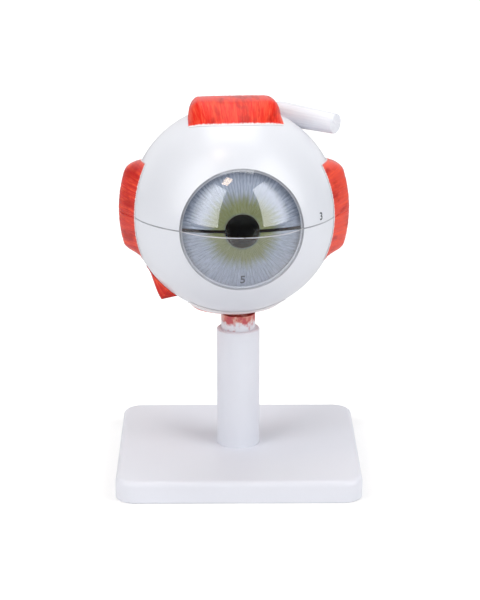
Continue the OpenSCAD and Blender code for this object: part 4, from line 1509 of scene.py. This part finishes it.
class EYE_OT_optic_nerve(Operator):
    """Cream sheath and yellow core of the optic nerve"""

    bl_idname = "eye.optic_nerve"
    bl_label = "Optic Nerve"

    def execute(self, context):
        give(["optic_nerve_upper", "optic_nerve_lower"], nerve_material())
        return {"FINISHED"}


class EYE_OT_stage(Operator):
    """Pale floor, soft lamps and the camera of the photograph"""

    bl_idname = "eye.stage"
    bl_label = "Stage"

    def execute(self, context):
        build_stage()
        return {"FINISHED"}


# ---------- Stage ----------

FLOOR_NEAR, FLOOR_FAR, FLOOR_HALF = -0.6, 6.0, 6.0
SHADOW_REACH = 0.03      # distance from the base at which the floor is seen white
SOFT_BOX = (0.8, 1.5)
SOFT_BOX_AWAY = 0.92
SOFT_BOXES = (("soft_box_left", -53.5, 0.45), ("soft_box_right", 61.0, -0.3))
OVERHEAD = (0.74, 0.6)
OVERHEAD_PLACE = np.array([-0.03, 0.3, 1.0])
SPOT = (0.18, 0.23)
SPOT_PLACE = np.array([-0.26, -0.27, 1.0])
SPOT_COLOUR = (1.0, 0.74, 0.52)
CAMERA_PLACE = (-9.142 * MM, -1132.58 * MM, 431.10 * MM)
SENSOR_WIDTH = 36.0


def area_lamp(name, place, target, size, power, fade=0.0):
    """Rectangular lamp of the given width and height that looks at a point.

    It grows brighter over the share fade of its width, from the other side if it is negative.
    """
    data = bpy.data.lights.new(name, "AREA")
    data.shape = "RECTANGLE"
    data.size, data.size_y = size
    data.energy = power
    lamp = in_scene(name, data)
    if fade:
        data.use_nodes = True
        tree = data.node_tree
        places = tree.nodes.new("ShaderNodeNewGeometry").outputs["Parametric"]
        across = node(tree, "ShaderNodeSeparateXYZ", {0: places}).outputs[0]
        start, end = (0.0, fade) if fade > 0 else (1.0, 1.0 + fade)
        tree.links.new(ramp_value(tree, across, start, end, 0.25, 1.15),
                       tree.nodes["Emission"].inputs["Strength"])
    back = unit(np.array(place) - np.array(target))
    side = unit(np.cross([0.0, 0.0, 1.0], back))
    turned = np.eye(4)
    turned[:3] = np.stack([side, np.cross(back, side), back, place], axis=1)
    lamp.matrix_world = Matrix(turned)
    return lamp


def seen_directly(tree):
    """1 on the camera's own rays, also behind clear plastic, and 0 after any reflection."""
    path = tree.nodes.new("ShaderNodeLightPath").outputs
    bounces = maths(tree, "ADD", path["Diffuse Depth"], path["Glossy Depth"])
    through = maths(tree, "MULTIPLY", path["Is Transmission Ray"],
                    maths(tree, "LESS_THAN", bounces, 0.5))
    return maths(tree, "MAXIMUM", path["Is Camera Ray"], through)


def floor_material():
    """Pale table that the camera sees white, but for the shadow close to the base.

    Its share of white grows with the distance from the outline of the base.
    """
    material, tree, shader = new_material("studio_floor", Roughness=0.9)
    base = settings().colours.floor
    cloud = noise(tree, object_vector(tree), 3.0, 2.0)
    tree.links.new(blend(tree, cloud, base, tuple(c * 0.985 for c in base)),
                   shader.inputs["Base Color"])
    low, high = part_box("base_plate")
    steps = (("SUBTRACT", tuple((low[i] + high[i]) / 2 for i in range(3))), ("ABSOLUTE", None),
             ("SUBTRACT", tuple((high[i] - low[i]) / 2 for i in range(3))),
             ("MAXIMUM", (0.0, 0.0, 0.0)), ("LENGTH", None))
    away = object_vector(tree)
    for operation, value in steps:
        values = {0: away} if value is None else {0: away, 1: value}
        made = node(tree, "ShaderNodeVectorMath", values, operation=operation)
        away = made.outputs["Value" if operation == "LENGTH" else 0]
    cover = ramp_value(tree, away, 0.0, SHADOW_REACH, 0.5, 1.0)
    white = node(tree, "ShaderNodeEmission", {"Color": (1.0, 1.0, 1.0, 1.0), "Strength": 1.2})
    mix = node(tree, "ShaderNodeMixShader",
               {0: maths(tree, "MULTIPLY", seen_directly(tree), cover)})
    tree.links.new(shader.outputs[0], mix.inputs[1])
    tree.links.new(white.outputs[0], mix.inputs[2])
    tree.links.new(mix.outputs[0], tree.nodes["Material Output"].inputs[0])
    return material


def studio_world():
    """Even light for soft shadows, a dark studio to reflect, and a white backdrop.

    Reflections see the backdrop where their direction points to the back.
    """
    studio = settings().studio
    world = bpy.data.worlds.new("studio_world")
    world.use_nodes = True
    tree = world.node_tree
    path = tree.nodes.new("ShaderNodeLightPath").outputs
    soft = tree.nodes["Background"]
    soft.inputs["Color"].default_value = (0.97, 0.98, 1.0, 1.0)
    strength = node(tree, "ShaderNodeMapRange",
                    {"Value": path["Glossy Depth"], "To Min": studio.ambient,
                     "To Max": studio.dark})
    way = tree.nodes.new("ShaderNodeTexCoord").outputs["Generated"]
    axes = node(tree, "ShaderNodeSeparateXYZ", {0: way}).outputs
    backdrop = maths(tree, "MULTIPLY", ramp_value(tree, axes[1], 0.3, 0.7), studio.backdrop)
    reflected = maths(tree, "MULTIPLY", backdrop,
                      maths(tree, "GREATER_THAN", path["Glossy Depth"], 0.5))
    tree.links.new(maths(tree, "MAXIMUM", strength.outputs[0], reflected),
                   soft.inputs["Strength"])
    white = node(tree, "ShaderNodeBackground", {"Color": (1, 1, 1, 1), "Strength": 1.0})
    mix = node(tree, "ShaderNodeMixShader", {0: seen_directly(tree)})
    tree.links.new(soft.outputs[0], mix.inputs[1])
    tree.links.new(white.outputs[0], mix.inputs[2])
    tree.links.new(mix.outputs[0], tree.nodes["World Output"].inputs[0])
    bpy.context.scene.world = world


def lamp_towards(azimuth, height, distance):
    """A place round the ball: the azimuth is 0 in front of it and grows to the right."""
    turn = math.radians(azimuth)
    centre = ball_centre()
    return (centre[0] + math.sin(turn) * distance, centre[1] - math.cos(turn) * distance,
            centre[2] + height)


def build_stage():
    """Table, world, lamps and camera."""
    studio = settings().studio
    scene = bpy.context.scene
    corners = np.array([
        [-FLOOR_HALF, FLOOR_NEAR, 0], [FLOOR_HALF, FLOOR_NEAR, 0],
        [FLOOR_HALF, FLOOR_FAR, 0], [-FLOOR_HALF, FLOOR_FAR, 0],
    ])
    mesh = mesh_of("floor", corners, np.array([[0, 1, 2, 3]]))
    mesh.materials.append(floor_material())
    floor = in_scene("floor", mesh)
    studio_world()

    centre = ball_centre()
    for name, azimuth, fade in SOFT_BOXES:
        place = lamp_towards(azimuth, SOFT_BOX[1] / 2, SOFT_BOX_AWAY)
        area_lamp(name, place, (centre[0], centre[1], place[2]), SOFT_BOX, studio.soft_boxes,
                  fade)
    above = centre + OVERHEAD_PLACE
    area_lamp("overhead", above, (above[0], above[1] - MM, 0.0), OVERHEAD, studio.top_light)
    warm = area_lamp("warm_spot", centre + SPOT_PLACE, centre, SPOT, studio.warm_spot)
    warm.data.color = SPOT_COLOUR

    data = bpy.data.cameras.new("camera")
    data.lens = studio.lens
    data.sensor_width = SENSOR_WIDTH
    camera = in_scene("camera", data)
    camera.location = CAMERA_PLACE
    camera.rotation_euler = (math.pi / 2 - studio.pitch, 0.0, -studio.yaw)
    scene.camera = camera
    scene.view_settings.view_transform = "Standard"


# ---------- Panel and registration ----------

STEPS = (
    EYE_OT_stand,
    EYE_OT_sclera,
    EYE_OT_cornea,
    EYE_OT_iris,
    EYE_OT_straight_muscles,
    EYE_OT_oblique_muscles,
    EYE_OT_inner_coats,
    EYE_OT_vessels,
    EYE_OT_clear_body,
    EYE_OT_optic_nerve,
    EYE_OT_stage,
)


class EyeModelSettings(PropertyGroup):
    """Everything that a user would change on the eye model."""

    globe: PointerProperty(type=GlobeSizes)
    iris: PointerProperty(type=IrisSizes)
    muscles: PointerProperty(type=MuscleSizes)
    tendon: PointerProperty(type=TendonSizes)
    colours: PointerProperty(type=EyeColours)
    studio: PointerProperty(type=StudioSettings)


class EYE_PT_panel(Panel):
    """Lists the steps that build the eye model and its settings"""

    bl_idname = "EYE_PT_panel"
    bl_label = "Eye Model"
    bl_space_type = "VIEW_3D"
    bl_region_type = "UI"
    bl_category = "Eye Model"

    def draw(self, context):
        layout = self.layout
        for step in STEPS:
            layout.operator(step.bl_idname)
        for label in EyeModelSettings.__annotations__:
            box = layout.box()
            box.label(text=label.capitalize())
            part = getattr(context.scene.eye_model, label)
            for name in type(part).__annotations__:
                box.prop(part, name)


CLASSES = (
    GlobeSizes, IrisSizes, MuscleSizes, TendonSizes, EyeColours, StudioSettings,
    EyeModelSettings, *STEPS, EYE_PT_panel,
)


def register():
    """Registers the classes and hangs the settings on the scene."""
    for item in CLASSES:
        bpy.utils.register_class(item)
    bpy.types.Scene.eye_model = PointerProperty(type=EyeModelSettings)


def unregister():
    """Takes the settings and the classes away again."""
    del bpy.types.Scene.eye_model
    for item in reversed(CLASSES):
        bpy.utils.unregister_class(item)


def main():
    """Builds every piece in order."""
    register()
    bpy.ops.eye.stand()
    bpy.ops.eye.sclera()
    bpy.ops.eye.cornea()
    bpy.ops.eye.iris()
    bpy.ops.eye.straight_muscles()
    bpy.ops.eye.oblique_muscles()
    bpy.ops.eye.inner_coats()
    bpy.ops.eye.vessels()
    bpy.ops.eye.clear_body()
    bpy.ops.eye.optic_nerve()
    bpy.ops.eye.stage()


if __name__ == "__main__":
    main()
